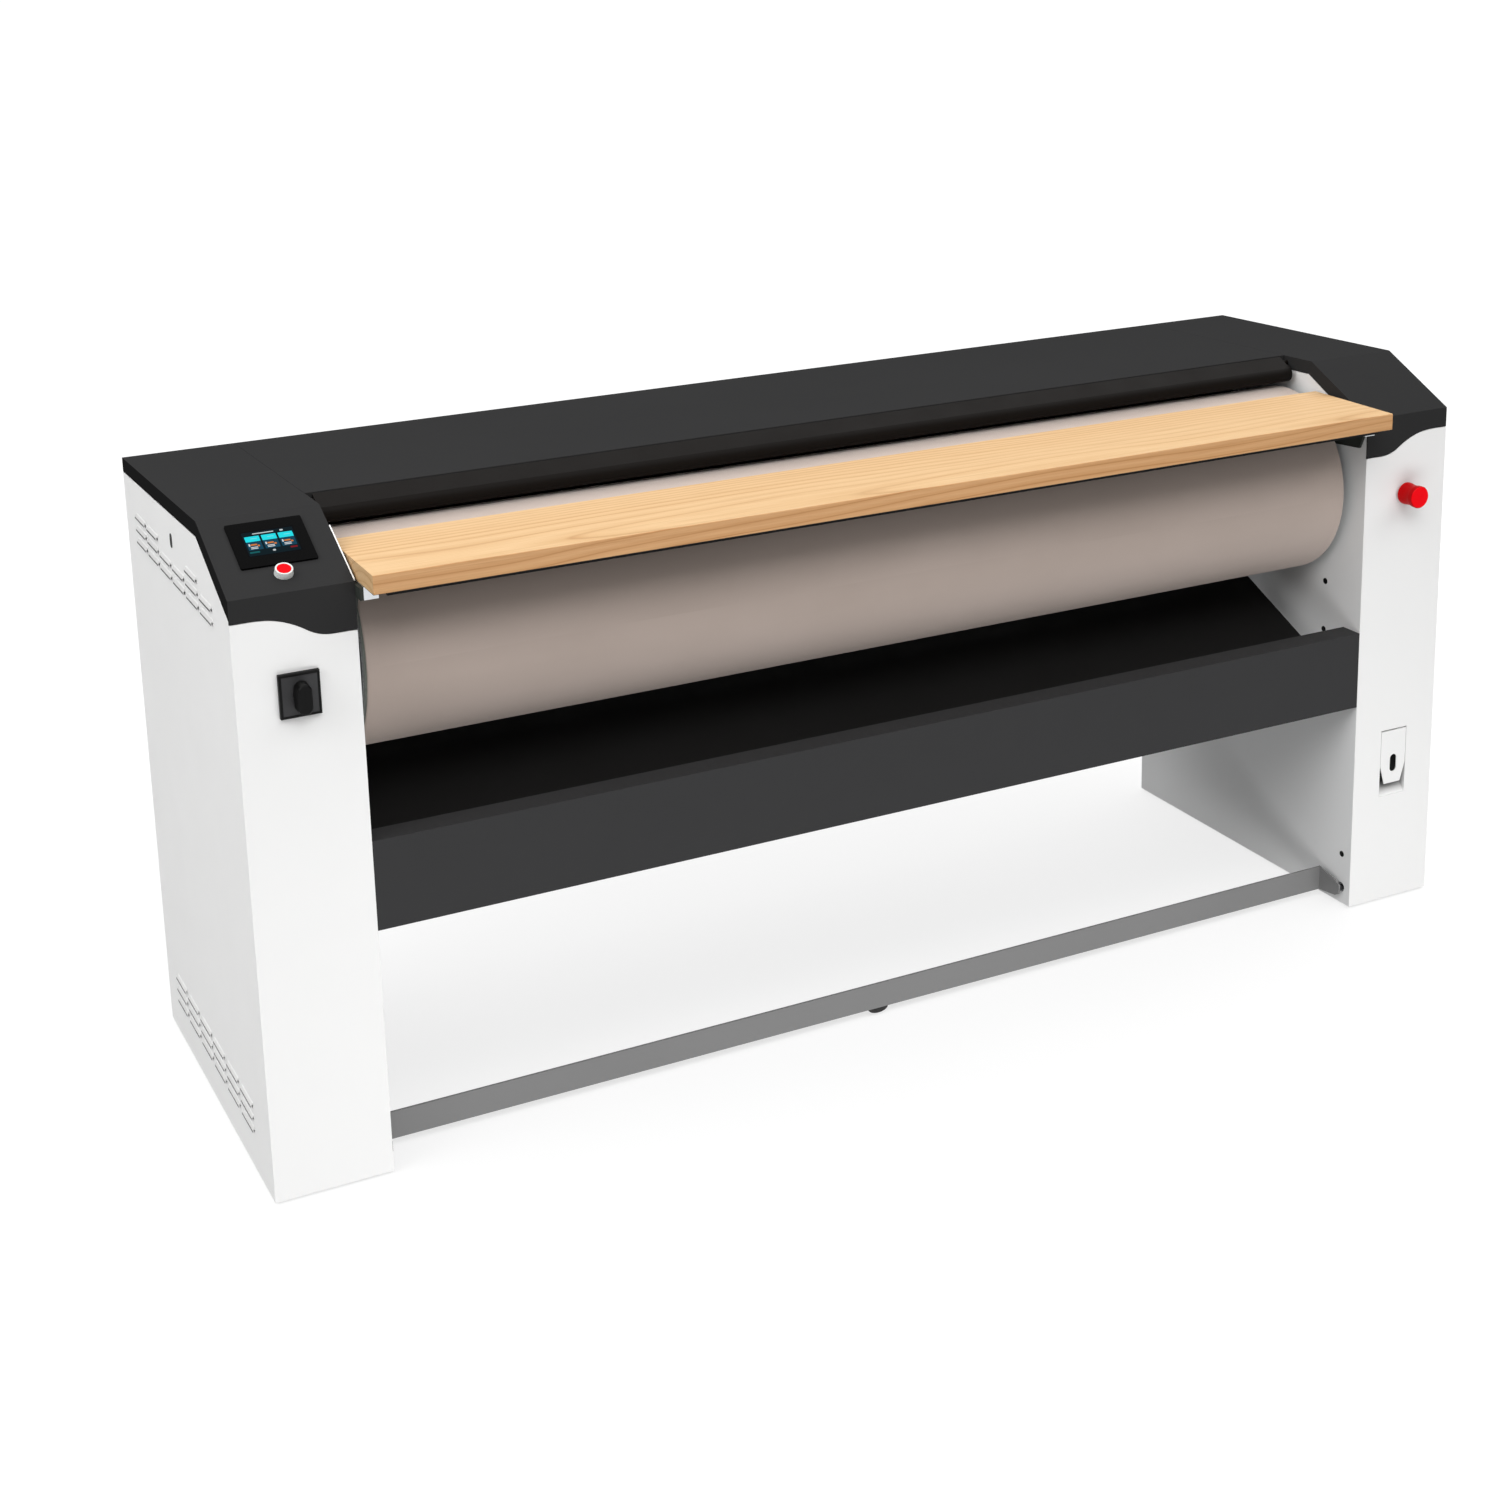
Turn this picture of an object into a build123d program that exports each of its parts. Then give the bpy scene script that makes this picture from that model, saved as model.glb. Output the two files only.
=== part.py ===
from build123d import *
import os
import math

os.makedirs("parts", exist_ok=True)

# ---------------------------------------------------------------------------
# Free-standing single-roll flatwork ironer.
# Frame: +Z up, X along the roll (operator's left is -X), operator stands at -Y.
# Origin: middle of the floor rectangle under the whole machine.
# ---------------------------------------------------------------------------
LENGTH = 2150.0          # overall length, over the pressed louvres
CASE_DEPTH = 643.0       # depth of the two cabinets
HEIGHT = 985.0           # floor to the highest fold of the covers
CABINET_W = 180.0        # width of one cabinet
BOARD_PROUD = 68.0       # feed board in front of the cabinet face

XO = LENGTH / 2                      # outermost face of the louvre hoods
HOOD = 3.5                           # height of a pressed louvre
XP = XO - HOOD                       # outer face of the side sheets
XI = XO - CABINET_W                  # inner face of the cabinets, the opening
YF = -(CASE_DEPTH + BOARD_PROUD) / 2 + BOARD_PROUD   # cabinet front face
YB = YF + CASE_DEPTH                 # cabinet rear face
T = 2.0                              # sheet thickness
Z0 = 4.0                             # lower edge of the casing sheets

# fold line of the covers (Y, Z)
BEND = (-133.0, HEIGHT)
SLOPE_END = (YF, 911.0)
BACK_TOP = 969.0

# roll
ROLL_Y, ROLL_Z, ROLL_R = -87.0, 768.0, 165.0
CLOTH_T, PAD_T, TUBE_T = 3.0, 12.0, 5.0
CLOTH_X0, CLOTH_X1 = -875.0, 880.0   # cloth and felt end just inside the end discs
ROLL_X, ROLL_XL = 883.0, 878.0       # end discs' outer faces, right and left of the middle
SHAFT_R = 20.0
RUN = 0.05               # radial running clearance of a shaft in its bore

# heated chest, an arc behind and below the roll
CHEST_RI, CHEST_RO = 166.5, 182.0
CHEST_A0, CHEST_A1 = -82.0, 50.0     # degrees from +Y, towards +Z
CHEST_X = 860.0
JACKET_RI, JACKET_RO = 191.0, 200.0

# collecting trough
TROUGH_Z0, TROUGH_Z1, LIP_Y = 387.0, 524.5, YF + 43.5
CHUTE_X0, CHUTE_X1 = -888.0, 847.0   # the chute stops short of the right cabinet

# treadle bar
TREADLE_PIVOT = (-264.0, 34.0)


def cover_z(y):
    """Height of the cover's top face over y."""
    if y >= BEND[0]:
        return BEND[1] - (BEND[1] - BACK_TOP) * (y - BEND[0]) / (YB - BEND[0])
    return BEND[1] - (BEND[1] - SLOPE_END[1]) * (BEND[0] - y) / (BEND[0] - YF)


def block(x0, x1, y0, y1, z0, z1, mode=Mode.ADD):
    """An axis-aligned block between two corners."""
    with Locations(((x0 + x1) / 2, (y0 + y1) / 2, (z0 + z1) / 2)):
        Box(abs(x1 - x0), abs(y1 - y0), abs(z1 - z0), mode=mode)


def prism(plane, points, amount, mode=Mode.ADD):
    """A polygon on a plane, pushed along the plane's normal."""
    with BuildSketch(plane) as s:
        with BuildLine():
            Polyline(*points, close=True)
        make_face()
    extrude(s.sketch, amount=amount, mode=mode)


def rod_x(x0, x1, y, z, r, mode=Mode.ADD):
    """A round bar along X."""
    with BuildSketch(Plane.YZ.offset(min(x0, x1))) as s:
        with Locations((y, z)):
            Circle(r)
    extrude(s.sketch, amount=abs(x1 - x0), mode=mode)


def rod_y(y0, y1, x, z, r, mode=Mode.ADD):
    """A round bar along Y."""
    with BuildSketch(Plane.XZ.offset(-max(y0, y1))) as s:
        with Locations((x, z)):
            Circle(r)
    extrude(s.sketch, amount=abs(y1 - y0), mode=mode)


def rod_z(z0, z1, x, y, r, mode=Mode.ADD):
    """A round bar along Z."""
    with BuildSketch(Plane.XY.offset(min(z0, z1))) as s:
        with Locations((x, y)):
            Circle(r)
    extrude(s.sketch, amount=abs(z1 - z0), mode=mode)


def polar(r, deg):
    """A point on the roll's section, angle from +Y towards +Z."""
    a = math.radians(deg)
    return (ROLL_Y + r * math.cos(a), ROLL_Z + r * math.sin(a))


def arc_band(r0, r1, a0, a1, x0, x1, mode=Mode.ADD):
    """A curved plate about the roll's axis."""
    am = (a0 + a1) / 2
    with BuildSketch(Plane.YZ.offset(x0)) as s:
        with BuildLine():
            ThreePointArc(polar(r0, a0), polar(r0, am), polar(r0, a1))
            Line(polar(r0, a1), polar(r1, a1))
            ThreePointArc(polar(r1, a1), polar(r1, am), polar(r1, a0))
            Line(polar(r1, a0), polar(r0, a0))
        make_face()
    extrude(s.sketch, amount=x1 - x0, mode=mode)


# lower edge of the black front skirt: distance from the outer edge, height
WAVE = [(0.0, 877.0), (21.5, 877.2), (55.6, 874.9), (79.6, 867.6), (97.5, 858.6),
        (113.0, 849.0), (131.2, 842.8), (149.5, 841.7), (XP - XI, 841.2)]
GUARD_PIVOT = (-65.0, 971.5)         # pins of the finger guard, in the covers' inner sides
LIP_BEND = (-126.0, 961.5)
LIP_END_Z = 881.0
LIP_BACK_Z = 946.5

# ---------------------------------------------------------------------------
# End covers: folded black sheet, open below
# ---------------------------------------------------------------------------
slope_len = math.hypot(BEND[0] - YF, BEND[1] - SLOPE_END[1])
slope_dir = ((BEND[0] - YF) / slope_len, (BEND[1] - SLOPE_END[1]) / slope_len)
XC = (XP + XI) / 2       # middle of a cabinet's front
panel_plane = Plane(origin=(-XC, BEND[0], BEND[1]), x_dir=(1, 0, 0),
                    z_dir=(0, -slope_dir[1], slope_dir[0]))
PANEL_S, BUTTON_S = 68.5, 133.0      # distances down the slope from the fold
BEZEL_W, BEZEL_H = 108.0, 94.0
SCREEN_W, SCREEN_H = 76.0, 54.0

with BuildPart() as left_end_cover:
    prism(Plane.YZ.offset(-XP), [(YF, SLOPE_END[1]), BEND, (YB, BACK_TOP), (YB, LIP_BACK_Z),
                                 LIP_BEND, (YF, LIP_END_Z)], XP - XI)
    prism(Plane.YZ.offset(-XP + T),
          [(YF + T, SLOPE_END[1] - T), (BEND[0] + 0.4, BEND[1] - T), (YB - T, BACK_TOP - T),
           (YB - T, 900), (YF + T, 800)], XP - XI - 2 * T, mode=Mode.SUBTRACT)
    # front skirt with its wave-shaped lower edge
    with BuildSketch(Plane.XZ.offset(-(YF + T))):
        with BuildLine():
            Spline(*[(-XP + a, b) for a, b in WAVE])
            Polyline((-XI, WAVE[-1][1]), (-XI, SLOPE_END[1] - 3), (-XP, SLOPE_END[1] - 3), (-XP, WAVE[0][1]))
        make_face()
    extrude(amount=T)
    # cut-outs for the operating panel and the stop button
    with BuildSketch(panel_plane.offset(-12)):
        with Locations((0, -PANEL_S)):
            Rectangle(BEZEL_W - 10, BEZEL_H - 10)
        with Locations((0, -BUTTON_S)):
            Circle(11.25)
    extrude(amount=24, mode=Mode.SUBTRACT)
    rod_x(-XI - 3, -XI + 1, GUARD_PIVOT[0], GUARD_PIVOT[1], 4 + RUN, mode=Mode.SUBTRACT)
left_end_cover.part.label = "left_end_cover"

with BuildPart() as right_end_cover:
    prism(Plane.YZ.offset(XI), [(YF, SLOPE_END[1]), BEND, (YB, BACK_TOP), (YB, LIP_BACK_Z),
                                LIP_BEND, (YF, LIP_END_Z)], XP - XI)
    prism(Plane.YZ.offset(XI + T),
          [(YF + T, SLOPE_END[1] - T), (BEND[0] + 0.4, BEND[1] - T), (YB - T, BACK_TOP - T),
           (YB - T, 900), (YF + T, 800)], XP - XI - 2 * T, mode=Mode.SUBTRACT)
    with BuildSketch(Plane.XZ.offset(-(YF + T))):
        with BuildLine():
            Spline(*[(XP - a, b) for a, b in WAVE])
            Polyline((XI, WAVE[-1][1]), (XI, SLOPE_END[1] - 3), (XP, SLOPE_END[1] - 3), (XP, WAVE[0][1]))
        make_face()
    extrude(amount=T)
    rod_x(XI - 1, XI + 3, GUARD_PIVOT[0], GUARD_PIVOT[1], 4 + RUN, mode=Mode.SUBTRACT)
right_end_cover.part.label = "right_end_cover"

# ---------------------------------------------------------------------------
# Centre cover between them, with the fold above the finger guard
# ---------------------------------------------------------------------------
CC_Y = -56.0             # front fold of the centre cover
with BuildPart() as centre_cover:
    prism(Plane.YZ.offset(-XI + 0.5),
          [(CC_Y, cover_z(CC_Y)), (YB, BACK_TOP), (YB, LIP_BACK_Z), (YB - T, LIP_BACK_Z),
           (YB - T, BACK_TOP - T), (CC_Y + T, cover_z(CC_Y) - T), (CC_Y + T, cover_z(CC_Y) - 9),
           (CC_Y, cover_z(CC_Y) - 9)], 2 * XI - 1)
centre_cover.part.label = "centre_cover"

# ---------------------------------------------------------------------------
# Cabinets: side sheet wrapped round the back, front sheet, inner sheet
# ---------------------------------------------------------------------------
GAP = 1.0                # joint between black and white sheets
side_profile = [(YF + T, Z0), (YB, Z0), (YB, LIP_BACK_Z - GAP), (LIP_BEND[0], LIP_BEND[1] - GAP),
                (YF + T, LIP_END_Z - GAP + 1.0)]
LOUVRE_Y = [210.5 + 34 - 81.2 * i for i in range(6)]     # column centres, back to front
UPPER_ROWS = [(892.0, (0, 1, 4)), (872.0, (0, 1, 2, 3, 4, 5)), (852.0, (0, 1, 2, 3, 4, 5))]
LOWER_ROWS = [(111.0, (0, 1, 2, 3, 4, 5)), (91.0, (0, 1, 2, 3, 4, 5)), (71.0, (0, 1, 2, 3, 4, 5))]
LOUVRES = [(LOUVRE_Y[c], z) for z, cols in UPPER_ROWS + LOWER_ROWS for c in cols]
LOUVRE_LEN = 62.0

with BuildPart() as left_side_shell:
    prism(Plane.YZ.offset(-XP), side_profile, T)
    block(-XP, -XI - T, YB - T, YB, Z0, LIP_BACK_Z - GAP)
    # pressed louvres: a hood outside, open below and at its front end, over a slot
    for ly, lz in LOUVRES:
        prism(Plane.XZ.offset(-(ly + LOUVRE_LEN / 2)),
              [(-XP + 0.2, lz + 7), (-XO, lz + 0.3), (-XO, lz - 2.0), (-XO + 0.8, lz - 2.0), (-XO + 0.8, lz - 0.1), (-XP + 0.2, lz + 5)], LOUVRE_LEN)
        prism(Plane.XZ.offset(-(ly + LOUVRE_LEN / 2)),
              [(-XP + 0.2, lz + 7), (-XO, lz + 0.3), (-XO, lz - 2.0), (-XP + 0.2, lz - 2.0)], 1)
        prism(Plane.XZ.offset(-(ly - LOUVRE_LEN / 2 + 1)),
              [(-XP + 0.2, lz + 7), (-XP - 2.45, lz + 2.2), (-XP + 0.2, lz + 2.2)], 1)
        block(-XP - 0.5, -XP + T + 0.5, ly - LOUVRE_LEN / 2 + 1, ly + LOUVRE_LEN / 2 - 1, lz - 3, lz + 4.6, mode=Mode.SUBTRACT)
    # vertical oval hole of the cover's catch
    with BuildSketch(Plane.YZ.offset(-XP - 1)):
        with Locations((38, 913.5)):
            SlotOverall(17.5, 7, rotation=90)
    extrude(amount=T + 2, mode=Mode.SUBTRACT)
left_side_shell.part.label = "left_side_shell"

with BuildPart() as right_side_shell:
    mirror(left_side_shell.part, about=Plane.YZ)
right_side_shell.part.label = "right_side_shell"

SWITCH_Z, ESTOP_Z = 764.0, 769.0
with BuildPart() as left_front_panel:
    with BuildSketch(Plane.XZ.offset(-(YF + T))):
        with BuildLine():
            Spline(*[(-XP + a, b - GAP) for a, b in WAVE])
            Polyline((-XI, WAVE[-1][1] - GAP), (-XI, Z0), (-XP, Z0), (-XP, WAVE[0][1] - GAP))
        make_face()
    extrude(amount=T)
    # folded returns stiffen the sheet
    block(-XP + T + 0.5, -XP + T + 2, YF + T, YF + 8, Z0 + 2, 820)
    block(-XI - T - 2, -XI - T - 0.5, YF + T, YF + 8, 70, 820)
    rod_y(YF - 1, YF + T + 1, -XC, SWITCH_Z, 11, mode=Mode.SUBTRACT)
left_front_panel.part.label = "left_front_panel"

FLAP_Z0, FLAP_Z1, FLAP_W = 204.0, 330.0, 58.0
with BuildPart() as right_front_panel:
    with BuildSketch(Plane.XZ.offset(-(YF + T))):
        with BuildLine():
            Spline(*[(XP - a, b - GAP) for a, b in WAVE])
            Polyline((XI, WAVE[-1][1] - GAP), (XI, Z0), (XP, Z0), (XP, WAVE[0][1] - GAP))
        make_face()
    extrude(amount=T)
    block(XP - T - 2, XP - T - 0.5, YF + T, YF + 8, Z0 + 2, 820)
    block(XI + T + 0.5, XI + T + 2, YF + T, YF + 8, 70, 820)
    rod_y(YF - 1, YF + T + 1, XC, ESTOP_Z, 11.25, mode=Mode.SUBTRACT)
    block(XC - FLAP_W / 2, XC + FLAP_W / 2, YF - 1, YF + T + 1, FLAP_Z0, FLAP_Z1, mode=Mode.SUBTRACT)
right_front_panel.part.label = "right_front_panel"

inner_profile = [(YF + T, Z0), (YB, Z0), (YB, LIP_BACK_Z - GAP), (LIP_BEND[0], LIP_BEND[1] - GAP),
                 (YF + T, LIP_END_Z - GAP + 1.0)]
with BuildPart() as left_inner_panel:
    prism(Plane.YZ.offset(-XI - T), inner_profile, T)
    rod_x(-XI - 5, -XI + 5, ROLL_Y, ROLL_Z, 30, mode=Mode.SUBTRACT)
    for hy, hz in ((-191, 595), (-191, 505), (-263, 98)):
        rod_x(-XI - 5, -XI + 5, hy, hz, 4, mode=Mode.SUBTRACT)
    rod_x(-XI - 5, -XI + 5, TREADLE_PIVOT[0], TREADLE_PIVOT[1], 9, mode=Mode.SUBTRACT)
left_inner_panel.part.label = "left_inner_panel"

with BuildPart() as right_inner_panel:
    mirror(left_inner_panel.part, about=Plane.YZ)
right_inner_panel.part.label = "right_inner_panel"

# rear cover of the middle, set in from the cabinets' rear face
RC_Y = 325.0
SPIGOT_X, SPIGOT_Z, SPIGOT_R = -560.0, 600.0, 50.0
with BuildPart() as rear_cover:
    # four sheets with narrow joints; the two of the duct's bay leave a square cut-out, closed by the spigot's flange
    for xa, xb, za, zb in ((-XI + 0.5, SPIGOT_X - 56.5, 385, 962), (SPIGOT_X - 56, SPIGOT_X + 56, 385, SPIGOT_Z - 54),
                           (SPIGOT_X - 56, SPIGOT_X + 56, SPIGOT_Z + 54, 962), (SPIGOT_X + 56.5, XI - 0.5, 385, 962)):
        block(xa, xb, RC_Y, RC_Y + 1.5, za, zb)
        if za < 400:
            block(xa, xb, RC_Y - 18, RC_Y, 385, 386.5)
    rod_y(RC_Y - 5, RC_Y + 5, 800, 430, 10, mode=Mode.SUBTRACT)
    with BuildSketch(Plane.XZ.offset(-(RC_Y + 3))):
        for gx in (-200, 150, 500):
            with Locations((gx, 850)):
                with GridLocations(0, 16, 1, 6):
                    SlotOverall(160, 5)
    extrude(amount=6, mode=Mode.SUBTRACT)
rear_cover.part.label = "rear_cover"

with BuildPart() as rear_cover_screws:
    for sx in (-870, -580, -290, 0, 290, 580, 870):
        for sz in (405, 940):
            rod_y(RC_Y + 1.5, RC_Y + 4.5, sx, sz, 5)
rear_cover_screws.part.label = "rear_cover_screws"

# ---------------------------------------------------------------------------
# Steel side frames, cross beams and feet
# ---------------------------------------------------------------------------
FX0, FX1 = XI + T + 0.5, XI + T + 6.5
FOOT_Y = (-230.0, 300.0)
FOOT_X = 985.0
MOTOR_Y, MOTOR_Z = -60.0, 470.0
with BuildPart() as left_side_frame:
    prism(Plane.YZ.offset(-FX1), [(-278, 10), (340, 10), (340, 925), (-105, 935), (-262, 860), (-278, 830)], FX1 - FX0)
    for wy, wz in ((-150, 140), (60, 140), (260, 140), (-170, 340), (60, 340), (250, 340), (60, 560), (240, 560)):
        block(-FX1 - 1, -FX0 + 1, wy - 70, wy + 70, wz - 75, wz + 75, mode=Mode.SUBTRACT)
    block(-1050, -FX1, -275, 340, 10, 16)
    rod_x(-FX1 - 1, -FX0 + 1, ROLL_Y, ROLL_Z, 28, mode=Mode.SUBTRACT)
    rod_x(-FX1 - 1, -FX0 + 1, TREADLE_PIVOT[0], TREADLE_PIVOT[1], 5 + RUN, mode=Mode.SUBTRACT)
    for fy in FOOT_Y:
        rod_z(9, 17, -FOOT_X, fy, 6.02, mode=Mode.SUBTRACT)
left_side_frame.part.label = "left_side_frame"

with BuildPart() as right_side_frame:
    mirror(left_side_frame.part, about=Plane.YZ)
    # shelf that carries the geared motor
    block(FX1, 1060, MOTOR_Y - 70, MOTOR_Y + 70, MOTOR_Z - 66, MOTOR_Z - 60)
right_side_frame.part.label = "right_side_frame"

# hollow tubes between the cabinets: behind the nip, behind the chest, under the chute
with BuildPart() as upper_cross_beam:
    block(-XI, XI, 97, 137, 915, 955)
    block(-XI - 1, XI + 1, 100, 134, 918, 952, mode=Mode.SUBTRACT)
upper_cross_beam.part.label = "upper_cross_beam"

with BuildPart() as rear_cross_beam:
    block(-XI, XI, 255, 295, ROLL_Z - 30, ROLL_Z + 30)
    block(-XI - 1, XI + 1, 258, 292, ROLL_Z - 27, ROLL_Z + 27, mode=Mode.SUBTRACT)
    # slide boxes welded on, round the chest's two arms
    for ax in (-600, 600):
        block(ax - 26, ax + 26, 200, 255, ROLL_Z - 30, ROLL_Z + 30)
        block(ax - 15.4, ax + 15.4, 199, 250, ROLL_Z - 21.4, ROLL_Z + 21.4, mode=Mode.SUBTRACT)
rear_cross_beam.part.label = "rear_cross_beam"

with BuildPart() as chute_beam:
    block(-XI, XI, -58, -18, 455, 495)
    block(-XI - 1, XI + 1, -55, -21, 458, 492, mode=Mode.SUBTRACT)
chute_beam.part.label = "chute_beam"

with BuildPart() as levelling_feet:
    for fx in (-FOOT_X, FOOT_X):
        for fy in FOOT_Y:
            rod_z(0, 8, fx, fy, 22)
            rod_z(8, 44, fx, fy, 6)
            with BuildSketch(Plane.XY.offset(16)):
                with Locations((fx, fy)):
                    RegularPolygon(10.5, 6)
            extrude(amount=9)
levelling_feet.part.label = "levelling_feet"

# ---------------------------------------------------------------------------
# Padded roll
# ---------------------------------------------------------------------------
R_PAD = ROLL_R - CLOTH_T
R_TUBE = R_PAD - PAD_T
with BuildPart() as roll_tube:
    rod_x(-ROLL_XL + 12, ROLL_X - 12, ROLL_Y, ROLL_Z, R_TUBE)
    rod_x(-ROLL_XL + 11, ROLL_X - 11, ROLL_Y, ROLL_Z, R_TUBE - TUBE_T, mode=Mode.SUBTRACT)
roll_tube.part.label = "roll_tube"

with BuildPart() as roll_padding:
    rod_x(CLOTH_X0 - 1.5, CLOTH_X1, ROLL_Y, ROLL_Z, R_PAD)
    rod_x(CLOTH_X0 - 3, CLOTH_X1 + 1, ROLL_Y, ROLL_Z, R_TUBE, mode=Mode.SUBTRACT)
roll_padding.part.label = "roll_padding"

with BuildPart() as roll_cloth:
    rod_x(CLOTH_X0, CLOTH_X1, ROLL_Y, ROLL_Z, ROLL_R)
    rod_x(CLOTH_X0 - 1, CLOTH_X1 + 1, ROLL_Y, ROLL_Z, R_PAD, mode=Mode.SUBTRACT)
roll_cloth.part.label = "roll_cloth"

with BuildPart() as roll_end_left:
    rod_x(-ROLL_XL, -ROLL_XL + 12, ROLL_Y, ROLL_Z, R_TUBE)
    rod_x(-945, -ROLL_XL, ROLL_Y, ROLL_Z, SHAFT_R)
roll_end_left.part.label = "roll_end_left"

with BuildPart() as roll_end_right:
    rod_x(ROLL_X - 12, ROLL_X, ROLL_Y, ROLL_Z, R_TUBE)
    rod_x(ROLL_X, 975, ROLL_Y, ROLL_Z, SHAFT_R)
roll_end_right.part.label = "roll_end_right"

with BuildPart() as left_roll_bearing:
    with BuildSketch(Plane.YZ.offset(-FX1 - 12)):
        with Locations((ROLL_Y, ROLL_Z)):
            RectangleRounded(110, 110, 18)
    extrude(amount=12)
    rod_x(-FX1 - 34, -FX1 - 12, ROLL_Y, ROLL_Z, 38)
    rod_x(-FX1 - 35, -FX1 + 1, ROLL_Y, ROLL_Z, SHAFT_R + RUN, mode=Mode.SUBTRACT)
left_roll_bearing.part.label = "left_roll_bearing"

with BuildPart() as right_roll_bearing:
    mirror(left_roll_bearing.part, about=Plane.YZ)
right_roll_bearing.part.label = "right_roll_bearing"

# ---------------------------------------------------------------------------
# Drive: geared motor, small pulley, belt, large pulley on the roll's shaft
# ---------------------------------------------------------------------------
PX0, PX1 = 943.0, 967.0
PULLEY_R, PINION_R = 100.0, 32.0
with BuildPart() as roll_pulley:
    rod_x(PX0, PX1, ROLL_Y, ROLL_Z, PULLEY_R)
    rod_x(PX0 - 1, PX1 + 1, ROLL_Y, ROLL_Z, SHAFT_R, mode=Mode.SUBTRACT)
    rod_x(PX0 - 1, PX0 + 7, ROLL_Y, ROLL_Z, 84, mode=Mode.SUBTRACT)
    rod_x(PX0, PX0 + 7, ROLL_Y, ROLL_Z, 34)
    rod_x(PX0 - 1, PX1 + 1, ROLL_Y, ROLL_Z, SHAFT_R, mode=Mode.SUBTRACT)
    with BuildSketch(Plane.YZ.offset(PX0 - 1)):
        with Locations((ROLL_Y, ROLL_Z)):
            with PolarLocations(58, 5):
                Circle(13)
    extrude(amount=PX1 - PX0 + 2, mode=Mode.SUBTRACT)
roll_pulley.part.label = "roll_pulley"

with BuildPart() as motor_pulley:
    rod_x(PX0, PX1, MOTOR_Y, MOTOR_Z, PINION_R)
    rod_x(PX1, 1000, MOTOR_Y, MOTOR_Z, 11)
motor_pulley.part.label = "motor_pulley"

with BuildPart() as gearmotor:
    block(969, 1056, MOTOR_Y - 55, MOTOR_Y + 55, MOTOR_Z - 60, MOTOR_Z + 50)
    rod_y(MOTOR_Y + 55, MOTOR_Y + 235, 1012, MOTOR_Z - 5, 48)
    rod_x(968, 1001, MOTOR_Y, MOTOR_Z, 11 + RUN, mode=Mode.SUBTRACT)
gearmotor.part.label = "gearmotor"


def belt_loop(r_add):
    """Corner points of the belt's line round both pulleys."""
    r1, r2 = PULLEY_R + r_add, PINION_R + r_add
    dy, dz = MOTOR_Y - ROLL_Y, MOTOR_Z - ROLL_Z
    d = math.hypot(dy, dz)
    base = math.atan2(dz, dy)
    off = math.acos((r1 - r2) / d)
    pts = []
    for sgn in (1, -1):
        a = base + sgn * off
        pts.append(((ROLL_Y + r1 * math.cos(a), ROLL_Z + r1 * math.sin(a)),
                    (MOTOR_Y + r2 * math.cos(a), MOTOR_Z + r2 * math.sin(a))))
    top = (ROLL_Y - r1 * math.cos(base), ROLL_Z - r1 * math.sin(base))
    low = (MOTOR_Y + r2 * math.cos(base), MOTOR_Z + r2 * math.sin(base))
    return pts, top, low


with BuildPart() as drive_belt:
    for radd, mode_ in ((4.4, Mode.ADD), (0.4, Mode.SUBTRACT)):
        (a1, a2), (b1, b2) = belt_loop(radd)[0]
        top_pt, low_pt = belt_loop(radd)[1:]
        with BuildSketch(Plane.YZ.offset(PX0 + 2)):
            with BuildLine():
                Line(a1, a2)
                ThreePointArc(a2, low_pt, b2)
                Line(b2, b1)
                ThreePointArc(b1, top_pt, a1)
            make_face()
        extrude(amount=20, mode=mode_)
drive_belt.part.label = "drive_belt"

# ---------------------------------------------------------------------------
# Heated chest with its heaters, jacket, sliding arms and actuators
# ---------------------------------------------------------------------------
with BuildPart() as heated_chest:
    arc_band(CHEST_RI, CHEST_RO, CHEST_A0, CHEST_A1, -CHEST_X, CHEST_X)
heated_chest.part.label = "heated_chest"

with BuildPart() as heater_rods:
    for deg in (-58, -34, -10, 14, 38):
        hy, hz = polar((CHEST_RO + JACKET_RI) / 2, deg)
        rod_x(-CHEST_X + 10, CHEST_X - 10, hy, hz, 4.4)
heater_rods.part.label = "heater_rods"

CHEST_TRAVEL = 10.0
with BuildPart() as chest_jacket:
    arc_band(JACKET_RI, JACKET_RO, -68, 46, -CHEST_X, CHEST_X)
    for ax in (-600, 600):
        block(ax - 15, ax + 15, ROLL_Y + 170, 236, ROLL_Z - 21, ROLL_Z + 21)
        rod_x(ax - 16, ax + 16, ROLL_Y, ROLL_Z, JACKET_RI, mode=Mode.SUBTRACT)
    # closing strips that hold the jacket on the chest
    for a0, a1 in ((-68, -66), (44, 46)):
        arc_band(CHEST_RO, JACKET_RI, a0, a1, -CHEST_X, CHEST_X)
chest_jacket.part.label = "chest_jacket"

with BuildPart() as chest_actuator_bodies:
    for ax in (-300, 300):
        rod_y(165, 255, ax, ROLL_Z, 20)
        rod_y(164, 240, ax, ROLL_Z, 8 + RUN, mode=Mode.SUBTRACT)
chest_actuator_bodies.part.label = "chest_actuator_bodies"

with BuildPart() as chest_actuator_rods:
    for ax in (-300, 300):
        rod_y(ROLL_Y + JACKET_RO - 0.2, 220, ax, ROLL_Z, 8)
        rod_x(ax - 30, ax + 30, ROLL_Y, ROLL_Z, JACKET_RO, mode=Mode.SUBTRACT)
chest_actuator_rods.part.label = "chest_actuator_rods"

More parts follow.
